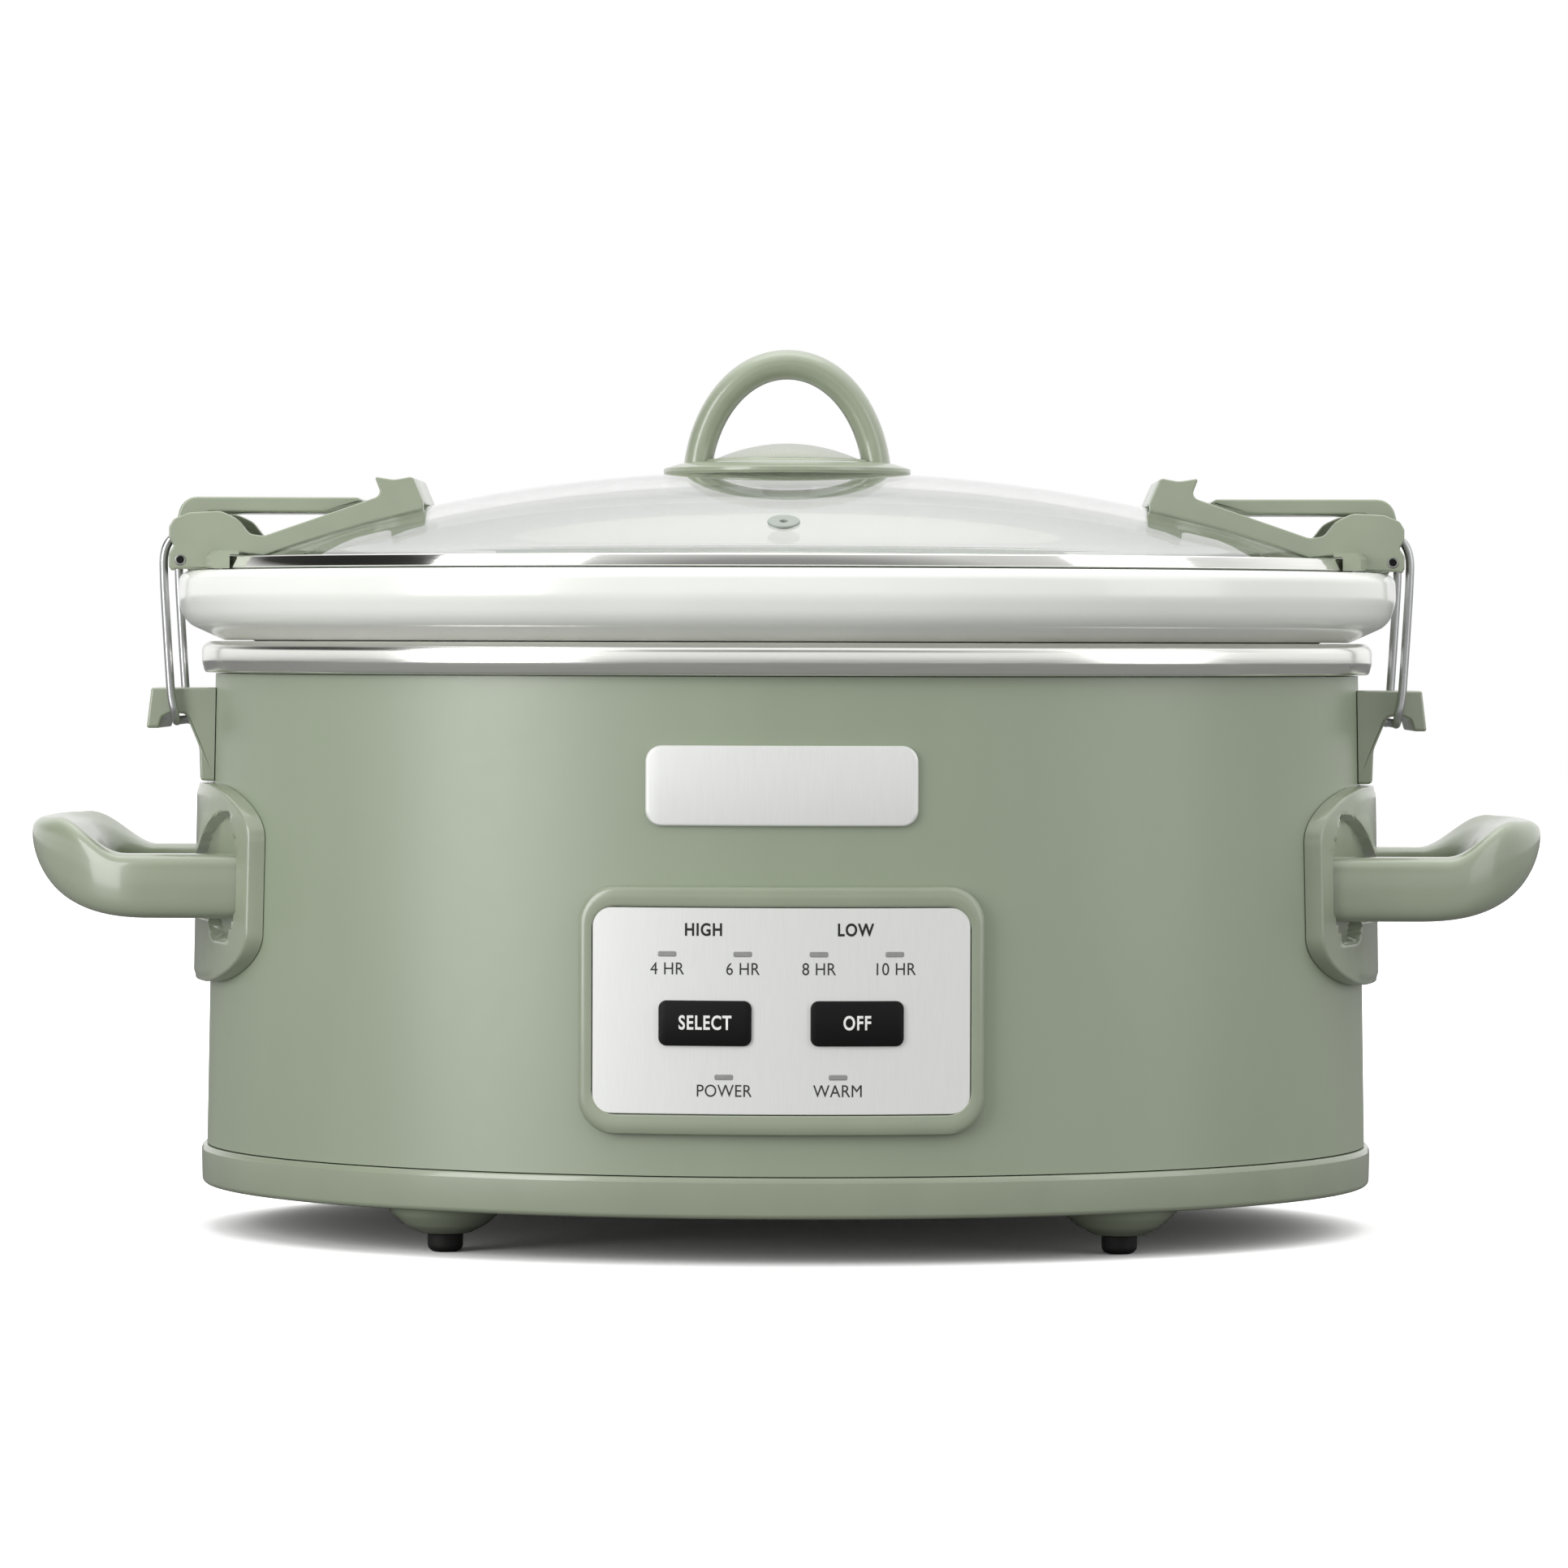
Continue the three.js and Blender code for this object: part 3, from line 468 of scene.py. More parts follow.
def slab(outline, low, high, bevel, steps=3):
    """A plate cut to an outline in X and Z, lying between two Y values, with rounded edges."""
    points = np.array(outline)
    count = len(points)
    if area(points) < 0:
        points = points[::-1]
    rings = []
    for k in range(steps + 1):
        angle = math.pi / 2 * k / steps
        rings.append((bevel * (1 - math.sin(angle)), low + bevel * (1 - math.cos(angle))))
    beside_bevel = 0.06 * MM  # a narrow flat ring, which keeps the bevel's shading off the flat face
    rings.insert(0, (bevel + beside_bevel, low))
    rings += [(inset, low + high - y) for inset, y in reversed(rings)]
    verts = []
    for inset, y in rings:
        for x, z in shrunk(points, inset):
            verts.append((x, y, z))
    faces = row_faces(len(rings), count, capped=False)
    triangles = tessellate_polygon([[Vector((x, z, 0)) for x, z in shrunk(points, rings[0][0])]])
    for ring in (0, len(rings) - 1):
        faces += [tuple(ring * count + k for k in triangle) for triangle in triangles]
    return verts, faces


def area(points):
    """The area inside an outline, below zero when it runs clockwise."""
    x, y = points[:, 0], points[:, 1]
    return 0.5 * float(np.sum(x * np.roll(y, -1) - np.roll(x, -1) * y))


def shrunk(points, inset):
    """An anticlockwise outline moved inward."""
    if inset <= 0:
        return points
    ahead = np.roll(points, -1, axis=0) - points
    ahead /= np.maximum(np.linalg.norm(ahead, axis=1, keepdims=True), 1e-9)
    behind = np.roll(ahead, 1, axis=0)
    inward = np.stack([-(ahead + behind)[:, 1], (ahead + behind)[:, 0]], axis=1)
    length = np.maximum(np.linalg.norm(inward, axis=1, keepdims=True), 1e-9)
    inward /= length
    cosine = np.clip(length / 2, 0.5, 1)
    return points + inward * inset / cosine


def round_wire(path, radius, around=16):
    """A wire of round section along a path, with a frame that never twists."""
    verts = []
    side = None
    for i, point in enumerate(path):
        along = (path[min(i + 1, len(path) - 1)] - path[max(i - 1, 0)]).normalized()
        side = along.orthogonal() if side is None else side - along * side.dot(along)
        side.normalize()
        over = along.cross(side)
        for k in range(around):
            angle = 2 * math.pi * k / around
            verts.append(tuple(point + (side * math.cos(angle) + over * math.sin(angle)) * radius))
    return verts, row_faces(len(path), around)


def smooth_path(points, steps=8):
    """A Catmull-Rom curve through the points."""
    points = [Vector(p) for p in points]
    padded = [2 * points[0] - points[1], *points, 2 * points[-1] - points[-2]]
    path = []
    for a, b, c, d in zip(padded, padded[1:], padded[2:], padded[3:]):
        for k in range(steps):
            t = k / steps
            bend = (2 * a - 5 * b + 4 * c - d) * t**2 + (3 * b - a - 3 * c + d) * t**3
            path.append(0.5 * (2 * b + (c - a) * t + bend))
    path.append(points[-1])
    return path


def on_end(side, shape):
    """A shape made for the +X end, turned half round for the other."""
    verts, faces = shape
    if side == "right":
        return verts, faces
    return [(-x, -y, z) for x, y, z in verts], faces


def mm_outline(corners, closed=True, step=12.0):
    """rounded(), with its corners in millimetres."""
    return rounded([(x * MM, y * MM, r * MM) for x, y, r in corners], closed, step)


# ---------------- the housing's surface


def housing_oval(z):
    """Half-width of the housing's outside at a height."""
    return HOUSING_FOOT - TAPER * (z - HOUSING_LOW.z) / (HOUSING_HIGH.z - HOUSING_LOW.z)


def front_point(x, z, proud):
    """The point in front of the housing at x and z, so far off its surface."""
    oval = housing_oval(z) + proud
    return (x, -half_depth(oval) * math.sqrt(max(0.0, 1 - (x / oval) ** 2)), z)


def rounded_rect(width, height, corner, centre_z, columns=28):
    """A ladder outline: matching top and bottom points, from left to right."""
    corner = max(corner, 0.01 * MM)
    bends = 8  # steps in each corner
    left = [-width / 2 + corner * (1 - math.cos(math.pi / 2 * k / bends)) for k in range(bends + 1)]
    flat = width / 2 - corner
    between = [-flat + 2 * flat * k / columns for k in range(1, columns)]
    xs = left + between + [-x for x in reversed(left)]
    rows = []
    for x in xs:
        over = max(0.0, abs(x) - flat)
        drop = corner - math.sqrt(max(0.0, corner**2 - over**2))
        rows.append((x, height / 2 - drop))
    top = [(x, centre_z + h) for x, h in rows]
    bottom = [(x, centre_z - h) for x, h in reversed(rows)]
    return top + bottom


def front_plate(width, height, corner, centre_z, profile, centre_x=0.0, capped=True, columns=28, upright=1.0):
    """A rounded plate that follows the housing, or a frame when it isn't capped.

    The profile is (inset, proud) points from its edge in. The inset is upright times larger above and below.
    """
    verts = []
    for inset, proud in profile:
        tall = height - 2 * inset * upright
        outline = rounded_rect(width - 2 * inset, tall, corner - inset, centre_z, columns)
        verts += [front_point(centre_x + x, z, proud) for x, z in outline]
        count = len(outline)
    faces = row_faces(len(profile), count, capped=False)
    last = (len(profile) - 1) * count
    if capped:
        for ring in (0, last):
            for k in range(count // 2 - 1):
                faces.append((ring + k, ring + k + 1, ring + count - 2 - k, ring + count - 1 - k))
    else:
        for k in range(count):
            after = (k + 1) % count
            faces.append((last + k, last + after, after, k))
    return verts, faces


# ---------------- housing and base


def build_housing():
    """The painted sheet wrapper."""
    low, high, thick = HOUSING_LOW.z, HOUSING_HIGH.z, 0.9 * MM
    rows = 12
    heights = [low + (high - low) * k / rows for k in range(rows + 1)]
    outer = [(housing_oval(z), z) for z in heights]
    inner = [(oval - thick, z) for oval, z in reversed(outer)]
    piece("housing_shell", *oval_ring(outer + inner), "base", "sage_paint", ["outer_housing"])


def build_rim():
    """The polished ring: a full rounded shoulder above and a rolled edge below."""
    oval, low, high = RIM_HIGH.x / MM, RIM_LOW.z / MM, RIM_HIGH.z / MM
    inner = oval - 12.9
    profile = mm_outline([
        (oval - 4.8, low, 0.2), (oval - 0.9, low, 1.1), (oval, low + 3.2, 3), (oval, high, 3.2),
        (inner, high, 0.3), (inner, high - 1, 0.3), (oval - 1.9, high - 1, 2.2), (oval - 1.6, low + 1.0, 0.3),
        (oval - 4.8, low + 1.0, 0.2),
    ], step=8.0)
    piece("polished_rim", *oval_ring(profile), "base", "polished_steel", ["housing_rim"])


# in mm: ovals of the well's outside at its foot, its head and its flange, and how thick its sheet is
WELL = {"foot": 150.8, "head": 157.7, "flange": 164, "sheet": 0.8}


def build_well():
    """The drawn liner that the crock sits in, with a flange at its top."""
    foot, head, flange, sheet = WELL["foot"], WELL["head"], WELL["flange"], WELL["sheet"]
    top, floor = WELL_HIGH.z / MM, WELL_LOW.z / MM + sheet
    outline = mm_outline([
        (10, floor - sheet, 0), (foot, floor - sheet, 20), (head, top - sheet, 0.8),
        (flange, top - sheet, 0.3), (flange, top, 0.3), (head - sheet, top, 1.5),
        (foot - sheet, floor, 19), (10, floor, 0),
    ])
    piece("well_liner", *oval_bowl(outline), "base", "aluminium", ["heating_well"])


def build_heater_wrap():
    """The mica band against the outside of the well."""
    low, high = box_of("heater_band")
    gap, thick = 0.2 * MM, 1.6 * MM
    lean = (WELL["head"] - WELL["foot"]) * MM / (WELL_HIGH.z - WELL_LOW.z)
    near_low, near_high = (WELL["foot"] * MM + gap + lean * (end.z - WELL_LOW.z) for end in (low, high))
    section = [(near_low + thick, low.z), (near_high + thick, high.z), (near_high, high.z), (near_low, low.z)]
    piece("heater_wrap", *oval_ring(section), "base", "mica", ["heater_band"])


def build_base():
    """The trim band, the floor and the four foot pods are one moulding."""
    oval, low, high = PAN_HIGH.x / MM, 13.0, PAN_HIGH.z / MM
    outline = mm_outline([
        (10, low, 0), (oval - 0.2, low, 1.6), (oval, high - 1.4, 0.4), (oval - 0.5, high, 0.5),
        (oval - 5.4, high, 0.4), (oval - 5.4, low + 2.5, 1.2), (10, low + 2.5, 0),
    ])
    shapes = [oval_bowl(outline)]
    pod = mm_outline([
        (0, 5.4, 0), (7.2, 5.4, 1.2), (11.5, 7.6, 6), (15, 10.6, 6), (17.3, 14, 0), (0, 14, 0),
    ], False)
    sole = mm_outline([(0, 0, 0), (5, 0, 2.2), (5, 5.1, 0.2), (0, 5.1, 0)], False)
    for foot in ("front_left", "front_right", "rear_left", "rear_right"):
        low_corner, high_corner = box_of(f"rubber_foot_{foot}")
        middle = (low_corner + high_corner) / 2
        shapes.append(turned(pod, 64, (middle.x, middle.y)))
        piece(f"foot_pad_{foot}", *turned(sole, 48, (middle.x, middle.y)), "base", "black_rubber",
              [f"rubber_foot_{foot}"])
    piece("base_moulding", *joined(*shapes), "base", "sage_plastic", ["base_pan"])


# ---------------- crock


def build_crock():
    """A thick glazed rim, tight at its top corner and full underneath, on a plain tapered bowl."""
    oval, top = CROCK_HIGH.x / MM, CROCK_HIGH.z / MM
    foot, under = CROCK_LOW.z / MM, 171.1
    outline = mm_outline([
        (10, foot, 0), (148.4, foot, 18), (155.3, under, 1), (oval - 13.4, under, 2.5),
        (oval - 1.9, under + 5.2, 9), (oval, under + 12, 9), (oval - 0.3, top, 3.4),
        (oval - 24, top, 3.5), (149.2, top - 5, 6), (141.4, foot + 7.6, 16), (10, foot + 7.6, 0),
    ], step=7.0)
    piece("glazed_crock", *oval_bowl(outline), "crock", "white_glaze", ["stoneware_crock"])


# ---------------- lid


def dome_z(oval):
    """Height of the glass's outside over an oval."""
    return DOME_TOP - DOME_DROP * (abs(oval) / DOME_OVAL) ** DOME_POWER


def oval_through(x, y):
    """Half-width of the oval through a point, for points over the dome."""
    return math.hypot(x, y * PROPORTIONAL_INSIDE / half_depth(PROPORTIONAL_INSIDE))


def build_glass():
    """A thin dome with a flat rim and a hole in the middle for the handle's screw."""
    hole, steps = 3.4 * MM, 40
    outside = []
    for k in range(steps + 1):
        oval = DOME_OVAL + (hole - DOME_OVAL) * k / steps
        outside.append((oval, dome_z(oval)))
    inside = [(oval, z - GLASS_THICK) for oval, z in reversed(outside[2:])]
    edge_top, edge_low = BAND_HIGH.z - 1.1 * MM, GLASS_LOW.z
    edge = GLASS_HIGH.x
    rim = [(DOME_OVAL - 4 * MM, edge_low), (edge - 0.4 * MM, edge_low), (edge, edge_low + 0.4 * MM),
           (edge, edge_top - 0.3 * MM), (edge - 0.3 * MM, edge_top), (DOME_OVAL + 0.3 * MM, edge_top)]
    piece("glass_dome", *oval_ring(inside + rim + outside), "lid", "clear_glass", ["lid_glass"], sharp=12)


def build_lid_edge():
    """The mirror-bright band round the glass and the seal under it."""
    oval, low, high = BAND_HIGH.x / MM, BAND_LOW.z / MM, BAND_HIGH.z / MM
    lap = 158.8
    band = mm_outline([
        (oval - 0.7, low, 0.1), (oval, low, 0.3), (oval - 0.85, high, 0.6), (lap, high, 0.3),
        (lap, high - 0.7, 0.1), (oval - 0.8, high - 0.7, 0.3),
    ])
    piece("rim_band", *oval_ring(band), "lid", "polished_steel", ["lid_rim_band"], "mirror_steel")
    lip = 148.9
    bottom, face = GASKET_LOW.z / MM, CROCK_HIGH.z / MM + 0.3
    gasket = mm_outline([
        (lip - 1.7, bottom, 0.6), (lip, bottom, 0.6), (lip, face, 0.2), (oval - 1.1, face, 0.3),
        (oval - 1.1, 192.5, 0.3), (lip - 1.7, 192.5, 0.4),
    ])
    piece("lid_seal", *oval_ring(gasket), "lid", "silicone", ["lid_gasket"])


def bezier(points, t):
    """The point at t, from 0 to 1, on a cubic curve."""
    a, b, c, d = (np.array(p, dtype=float) for p in points)
    return (1 - t) ** 3 * a + 3 * (1 - t) ** 2 * t * b + 3 * (1 - t) * t**2 * c + t**3 * d


def superellipse(half_a, half_b, power=2.6, count=28):
    """A soft-cornered oval section."""
    points = []
    for k in range(count):
        angle = 2 * math.pi * k / count
        c, s = math.cos(angle), math.sin(angle)
        points.append((half_a * math.copysign(abs(c) ** (2 / power), c),
                       half_b * math.copysign(abs(s) ** (2 / power), s)))
    return points


# in mm: outer and inner half-widths at the foot, the foot's height, half the bar's depth, and its height on top
ARCH = {"half": 30.4, "inner": 21.8, "foot": 221.8, "thick": 7.2, "bar": 8.7}


def arch_shape():
    """A bar bent into an arch. Its section is a soft oval that spreads a little at its feet."""
    half, inner, foot = ARCH["half"], ARCH["inner"], ARCH["foot"]
    top, inner_top = ARCH_HIGH.z / MM, ARCH_HIGH.z / MM - ARCH["bar"]
    outside = [(half, foot), (half - 1.9, foot + 18.2), (17, top), (0, top)]
    inside = [(inner, foot), (inner - 1.3, foot + 13.2), (12, inner_top), (0, inner_top)]
    steps = 28
    right = [(bezier(outside, k / steps), bezier(inside, k / steps)) for k in range(steps + 1)]
    left = [(o * (-1, 1), i * (-1, 1)) for o, i in reversed(right[:-1])]
    verts = []
    rows = right + left
    for outer, inward in rows:
        middle, reach = (outer + inward) / 2, (outer - inward) / 2
        spread = 1 + 0.12 * max(0.0, 1 - (middle[1] - foot) / 9) ** 2
        for a, b in superellipse(1, ARCH["thick"] * spread, 2.25):
            x, z = middle + reach * a
            verts.append((x * MM, b * MM, z * MM))
    return verts, row_faces(len(rows), len(verts) // len(rows))


def cap_shape():
    """The shallow dome inside the arch."""
    radius, low, foot, rise, steps = 21.0, 223.4, 224.4, 4.6, 16
    profile = [(0, low), (radius, low)]
    for k in range(steps + 1):
        part = 1 - k / steps
        profile.append((radius * part, foot + rise * (1 - part**2)))
    return turned([(r * MM, z * MM) for r, z in profile], 96)


def build_lid_handle():
    """The arch on its round flange, the cap inside the arch and the screw under the glass."""
    flange = mm_outline([
        (0, 221.35, 0), (18, 221.1, 20), (35.6, 219.6, 0.4), (36.2, 220.4, 0.4), (36.1, 221.5, 0.5),
        (31.6, 222.9, 1.2), (29.5, 223.2, 0.8), (24.6, 223.5, 0.6), (24, 224.2, 0.5), (22, 224.2, 0.4),
        (21.6, 223.2, 0.3), (0, 223.0, 0),
    ], False)
    handle = joined(arch_shape(), turned(flange, 128))
    piece("arched_handle", *handle, "lid", "sage_plastic", ["lid_handle"])
    # the cap is sage plastic; its paler finish is a painted reflection
    piece("cap_dome", *cap_shape(), "lid", "sage_plastic", ["handle_cap"], "pearl_cap")
    under, shank_top = DOME_TOP / MM - 3.9, 221.6
    screw = mm_outline([
        (0, under - 1.6, 0), (6.4, under - 1.6, 0.7), (7.4, under - 0.6, 0.4), (7.4, under, 0.2),
        (1.9, under, 0.2), (1.9, shank_top, 0.2), (0, shank_top, 0),
    ], False)
    piece("clamp_screw", *turned(screw, 48), "lid", "dark_steel", ["lid_handle_screw"])


VENT_AHEAD = 92 * MM  # how far the vent lies in front of the lid's middle


def build_vent():
    """A soft bush that lines the steam hole, tilted to lie on the dome."""
    at = Vector((0, -VENT_AHEAD, dome_z(oval_through(0, VENT_AHEAD))))
    step = 1 * MM
    rise = dome_z(oval_through(0, at.y + step)) - dome_z(oval_through(0, at.y - step))
    tilt = Matrix.Rotation(math.atan(rise / (2 * step)), 3, "X")
    outline = mm_outline([
        (1.1, -1.0, 0.1), (3.3, -1.0, 0.1), (3.3, 0.1, 0.1), (4.7, 0.1, 0.2), (4.4, 0.75, 0.35),
        (1.1, 0.6, 0.3),
    ])
    verts, around = [], 48
    for k in range(around):
        angle = 2 * math.pi * k / around
        for radius, z in outline:
            verts.append(at + tilt @ Vector((radius * math.cos(angle), radius * math.sin(angle), z)))
    piece("steam_vent", verts, ring_faces(around, len(outline)), "lid", "silicone", ["vent_grommet"])


# ---------------- latches


CHEEK_IN, CHEEK_OUT = 22.4 * MM, 26.4 * MM  # how far each cheek's faces stand from the latch's middle
ARM_ROOT, ARM_TIP = 151 * MM, 104.9 * MM  # where the arms start and end over the glass
# the raised grip at the arms' tips, from its inner edge to where it meets the arms
GRIP = [(104.9, 211.4, 0.6), (107.9, 218.5, 1.3), (113.2, 217.5, 6), (118.9, 218.4, 0.5), (116.8, 213.0, 2)]


def arm_underside(steps=10):
    """The arms clear the dome by the same small gap all along."""
    beside, clear = 25.6 * MM, 0.1 * MM
    points = []
    for k in range(steps + 1):
        x = ARM_ROOT + (ARM_TIP - ARM_ROOT) * k / steps
        points.append((x / MM, (dome_z(oval_through(x, beside)) + clear) / MM, 0))
    return points


def cheek_outline():
    """Side view of an arm and the cheek that carries the pivot pin."""
    hump = [(150.9, 201.2, 5), (155.2, 201.8, 3), (158.6, 206.2, 6), (163.4, 208.4, 5), (172.5, 207.9, 3)]
    heel = [
        (176.9, 206.1, 2), (178.3, 203.8, 1.2), (178.3, 200.6, 1.2), (176.9, 198.3, 0.8),
        (178.4, 196.0, 1.2), (178.4, 192.5, 0.8), (177.6, 191, 0.6),
    ]
    foot = [(176.4, 191.6, 0.3), (166.6, 191.6, 0.3), (166.6, 196.1, 0.3), (157, 196.3, 0.3)]
    return mm_outline(arm_underside() + GRIP + hump + heel + foot)


def latch_frame_shape():
    """Two cheeks with arms, the grip that joins their tips and the clamp that joins their feet."""
    cheek = cheek_outline()
    near = slab(cheek, -CHEEK_OUT, -CHEEK_IN, 0.45 * MM)
    far = slab(cheek, CHEEK_IN, CHEEK_OUT, 0.45 * MM)
    over_glass = dome_z(oval_through(ARM_TIP, 0)) / MM + 0.4
    grip = mm_outline([(ARM_TIP / MM, over_glass, 0.5), (113.5, 209.2, 3), *reversed(GRIP)])
    reach = CHEEK_IN + 1 * MM
    return joined(near, far, slab(grip, -reach, reach, 0.2 * MM), clamp_shape())


def clamp_shape():
    """The part of the latch frame that wraps the lid's edge, a little past the cheeks on both sides."""
    section = mm_outline([
        (166.7, 191.7, 0.2), (171.5, 191.7, 0.8), (171.5, 195.2, 1.2), (169.8, 196.9, 1.5),
        (164.2, 196.9, 0.6), (164.2, 195.7, 0.2), (166.7, 195.7, 0.4),
    ])
    reach, steps = 35 * MM, 48
    verts = []
    for k in range(steps + 1):
        y = -reach + 2 * reach * k / steps
        for oval, z in section:
            verts.append((oval * math.sqrt(1 - (y / half_depth(oval)) ** 2), y, z))
    return verts, row_faces(steps + 1, len(section))


def lever_shape():
    """A flat lever with its back bent down to a pointed hub round the pivot pin."""
    pivot = PIVOT / MM
    bend = [
        (122.8, 211.2, 0.9), (124.4, 212.6, 1.2), (175.2, 212.7, 5.5), (177.6, 203, 5), (177.6, pivot.z, 0),
    ]
    hub = [
        (pivot.x + 2.2, pivot.z - 1.5, 0.8), (pivot.x, pivot.z - 2.6, 1), (pivot.x - 2.2, pivot.z - 1.5, 1),
    ]
    below = [(169.4, 200.5, 2), (169.0, 208.2, 2.2), (133.6, 208.2, 4)]
    return slab(mm_outline(bend + hub + below), -LEVER_HALF, LEVER_HALF, 0.7 * MM, 4)


def bail_path():
    """The wire's line: from its eye in the lever, down past the crock's rim and across under the catch."""
    half_width, bar_x, bar_z = 20.6, 176.9, 147.7
    pivot = BAIL_PIVOT / MM
    eye = [
        (pivot.x, 13, pivot.z), (pivot.x, 17.6, pivot.z), (pivot.x + 1.4, half_width - 0.5, pivot.z - 0.2),
    ]
    down = [(178.2, 200.3), (180.2, 196), (180.3, 189), (179.6, 176), (178.8, 163), (178.2, 155)]
    across = [
        (177.3, half_width - 0.1, 150.4), (bar_x, half_width - 2.0, bar_z), (bar_x, 14, bar_z),
        (bar_x, 4, bar_z),
    ]
    half = eye + [(x, half_width, z) for x, z in down] + across
    points = half + [(x, -y, z) for x, y, z in reversed(half)]
    return smooth_path([Vector(p) * MM for p in points])


def catch_shape():
    """A hooked block that stands off the housing's end."""
    section = mm_outline([
        (160, 130.2, 0), (170.1, 130.2, 1), (170.4, 140, 6), (173.8, 148.2, 2), (174.6, 149.6, 1.2),
        (178.5, 150, 2), (181.2, 148.8, 1.2), (182.2, 145.5, 0.6), (185.8, 145.5, 0.7), (184.4, 157.2, 0.7),
        (160, 157.2, 0),
    ])
    verts, faces = slab(section, -CATCH_HALF, CATCH_HALF, 0.7 * MM)
    snug = []
    for x, y, z in verts:
        oval = housing_oval(z) + 0.3 * MM
        wall = oval * math.sqrt(1 - (y / half_depth(oval)) ** 2)
        snug.append((max(x, wall), y, z))
    return snug, faces


def pin_shape():
    """A hollow rivet: a straight shank with a rolled rim and a hole at each end."""
    half = mm_outline([
        (0, 26, 0), (1.05, 26, 0.2), (1.05, 26.5, 0.1), (1.3, 26.7, 0.15), (1.6, 26.6, 0.1),
        (1.6, 26.35, 0.1), (1.2, 26.3, 0.1), (1.2, 0, 0),
    ], False)
    whole = np.vstack([half, half[-2::-1] * (1, -1)])
    verts, faces = turned(whole, 32)
    return [(PIVOT.x + x, z, PIVOT.z + y) for x, y, z in verts], faces


def painted_hole_shade_shape():
    """A black disc set in each end of the hollow rivet: painted shade that stands for the dark inside of the hole.
    """
    ends = []
    for sign in (-1, 1):
        face, proud = 26.3 * MM * sign, 26.48 * MM * sign
        disc = [(0, face), (1.05 * MM, face), (1.05 * MM, proud), (0, proud)]
        verts, faces = turned(disc, 24)
        ends.append(([(PIVOT.x + x, z, PIVOT.z + y) for x, y, z in verts], faces))
    return joined(*ends)


def build_latches():
    """A latch on each end: the frame and pin on the lid, the lever, the wire bail and the catch."""
    clamp, lever, catch = latch_frame_shape(), lever_shape(), catch_shape()
    bail = round_wire(bail_path(), 1.25 * MM)
    pin, painted_hole_shade = pin_shape(), painted_hole_shade_shape()
    for side in ("left", "right"):
        piece(f"clamp_frame_{side}", *on_end(side, clamp), "lid", "sage_plastic", [f"latch_frame_{side}"])
        piece(f"pivot_pin_{side}", *on_end(side, pin), "lid", "dark_steel", [f"latch_pin_{side}"])
        # painted shade: a black disc in each end of the rivet stands for the dark of its hole
        piece(f"pin_painted_hole_shade_{side}", *on_end(side, painted_hole_shade), "lid", "black_plastic")
        piece(f"lever_{side}", *on_end(side, lever), f"lever_{side}", "sage_plastic", [f"latch_lever_{side}"])
        piece(f"wire_bail_{side}", *on_end(side, bail), f"bail_{side}", "polished_steel",
              [f"latch_bail_{side}"], "wire_steel")
        piece(f"catch_hook_{side}", *on_end(side, catch), "base", "sage_plastic", [f"latch_catch_{side}"])


# ---------------- carrying handles


def end_point(y, z, proud):
    """The point off the housing's +X end at y and z."""
    oval = housing_oval(z) + proud
    return (oval * math.sqrt(max(0.0, 1 - (y / half_depth(oval)) ** 2)), y, z)


def smoothstep(low, high, value):
    """Rises smoothly from 0 at low to 1 at high."""
    t = min(1.0, max(0.0, (value - low) / (high - low)))
    return t * t * (3 - 2 * t)


def shield_outline(inset):
    """Points round the handle plate in Y and Z, moved inward by so much."""
    corner_wide, corner_tall = 31 * MM, 15 * MM
    middle, tall = (PLATE_LOW.z + PLATE_HIGH.z) / 2, (PLATE_HIGH.z - PLATE_LOW.z) / 2
    flat_y, flat_z = PLATE_HIGH.y - corner_wide, tall - corner_tall
    points, steps = [], 160
    for k in range(steps):
        angle = 2 * math.pi * k / steps
        c, s = math.cos(angle), math.sin(angle)
        y = math.copysign(flat_y, c) + corner_wide * c
        z = middle + math.copysign(flat_z, s) + corner_tall * s
        points.append(Vector((y, z, 0)))
    even = resampled([*points, points[0]], 2 * steps + 1)[:-1]
    return shrunk(np.array([(p.x, p.y) for p in even]), inset)


def finger_recess(y, z):
    """How deep the handle plate is sunk at a place, from 0 to 1."""
    across, step = abs(y), 0.9 * MM
    top = 109 * MM + 13 * MM * smoothstep(12 * MM, 47 * MM, across)
    bottom = 91 * MM - 6 * MM * smoothstep(37 * MM, 40 * MM, across)
    narrowed_above = 4.5 * MM * smoothstep(108 * MM, 123 * MM, z)
    narrowed_below = 4 * MM * smoothstep(96 * MM, 85 * MM, z)
    edge = 54.2 * MM - narrowed_above - narrowed_below
    upright = (1 - smoothstep(top - step, top, z)) * smoothstep(bottom, bottom + 2.2 * step, z)
    return upright * (1 - smoothstep(edge - step, edge, across))


def plate_shape():
    """A raised shield that wraps the housing's end.

    A recess for the fingers runs behind both legs of the handle. It rises into an arch over each leg
    and dips a little under it, which leaves a panel above, a panel below and a border.
    """
    middle = (PLATE_LOW.z + PLATE_HIGH.z) / 2
    thick, sunk, crown = 4.3, 2.8 * MM, 0.5 * MM
    edge = [
        (0, 0.3), (0, 1.6), (0, thick - 0.6), (0.1, thick - 0.25), (0.3, thick - 0.07), (0.6, thick),
        (0.8, thick),
    ]
    verts = []
    for inset, height in edge:
        for y, z in shield_outline(inset * MM):
            verts.append(end_point(y, z, height * MM))
    border, rings = shield_outline(edge[-1][0] * MM), 52
    for k in range(1, rings):
        part = 1 - k / rings
        for y, z in border:
            spot = (y * part, middle + (z - middle) * part)
            raised = crown * (1 - smoothstep(36 * MM, 42 * MM, abs(spot[0]))) * smoothstep(1, 0.93, part)
            verts.append(end_point(*spot, thick * MM + raised - sunk * finger_recess(*spot)))
    return verts, row_faces(len(edge) + rings - 1, len(border))


LOOP_BAR = 8.0  # half the handle bar's width, in mm


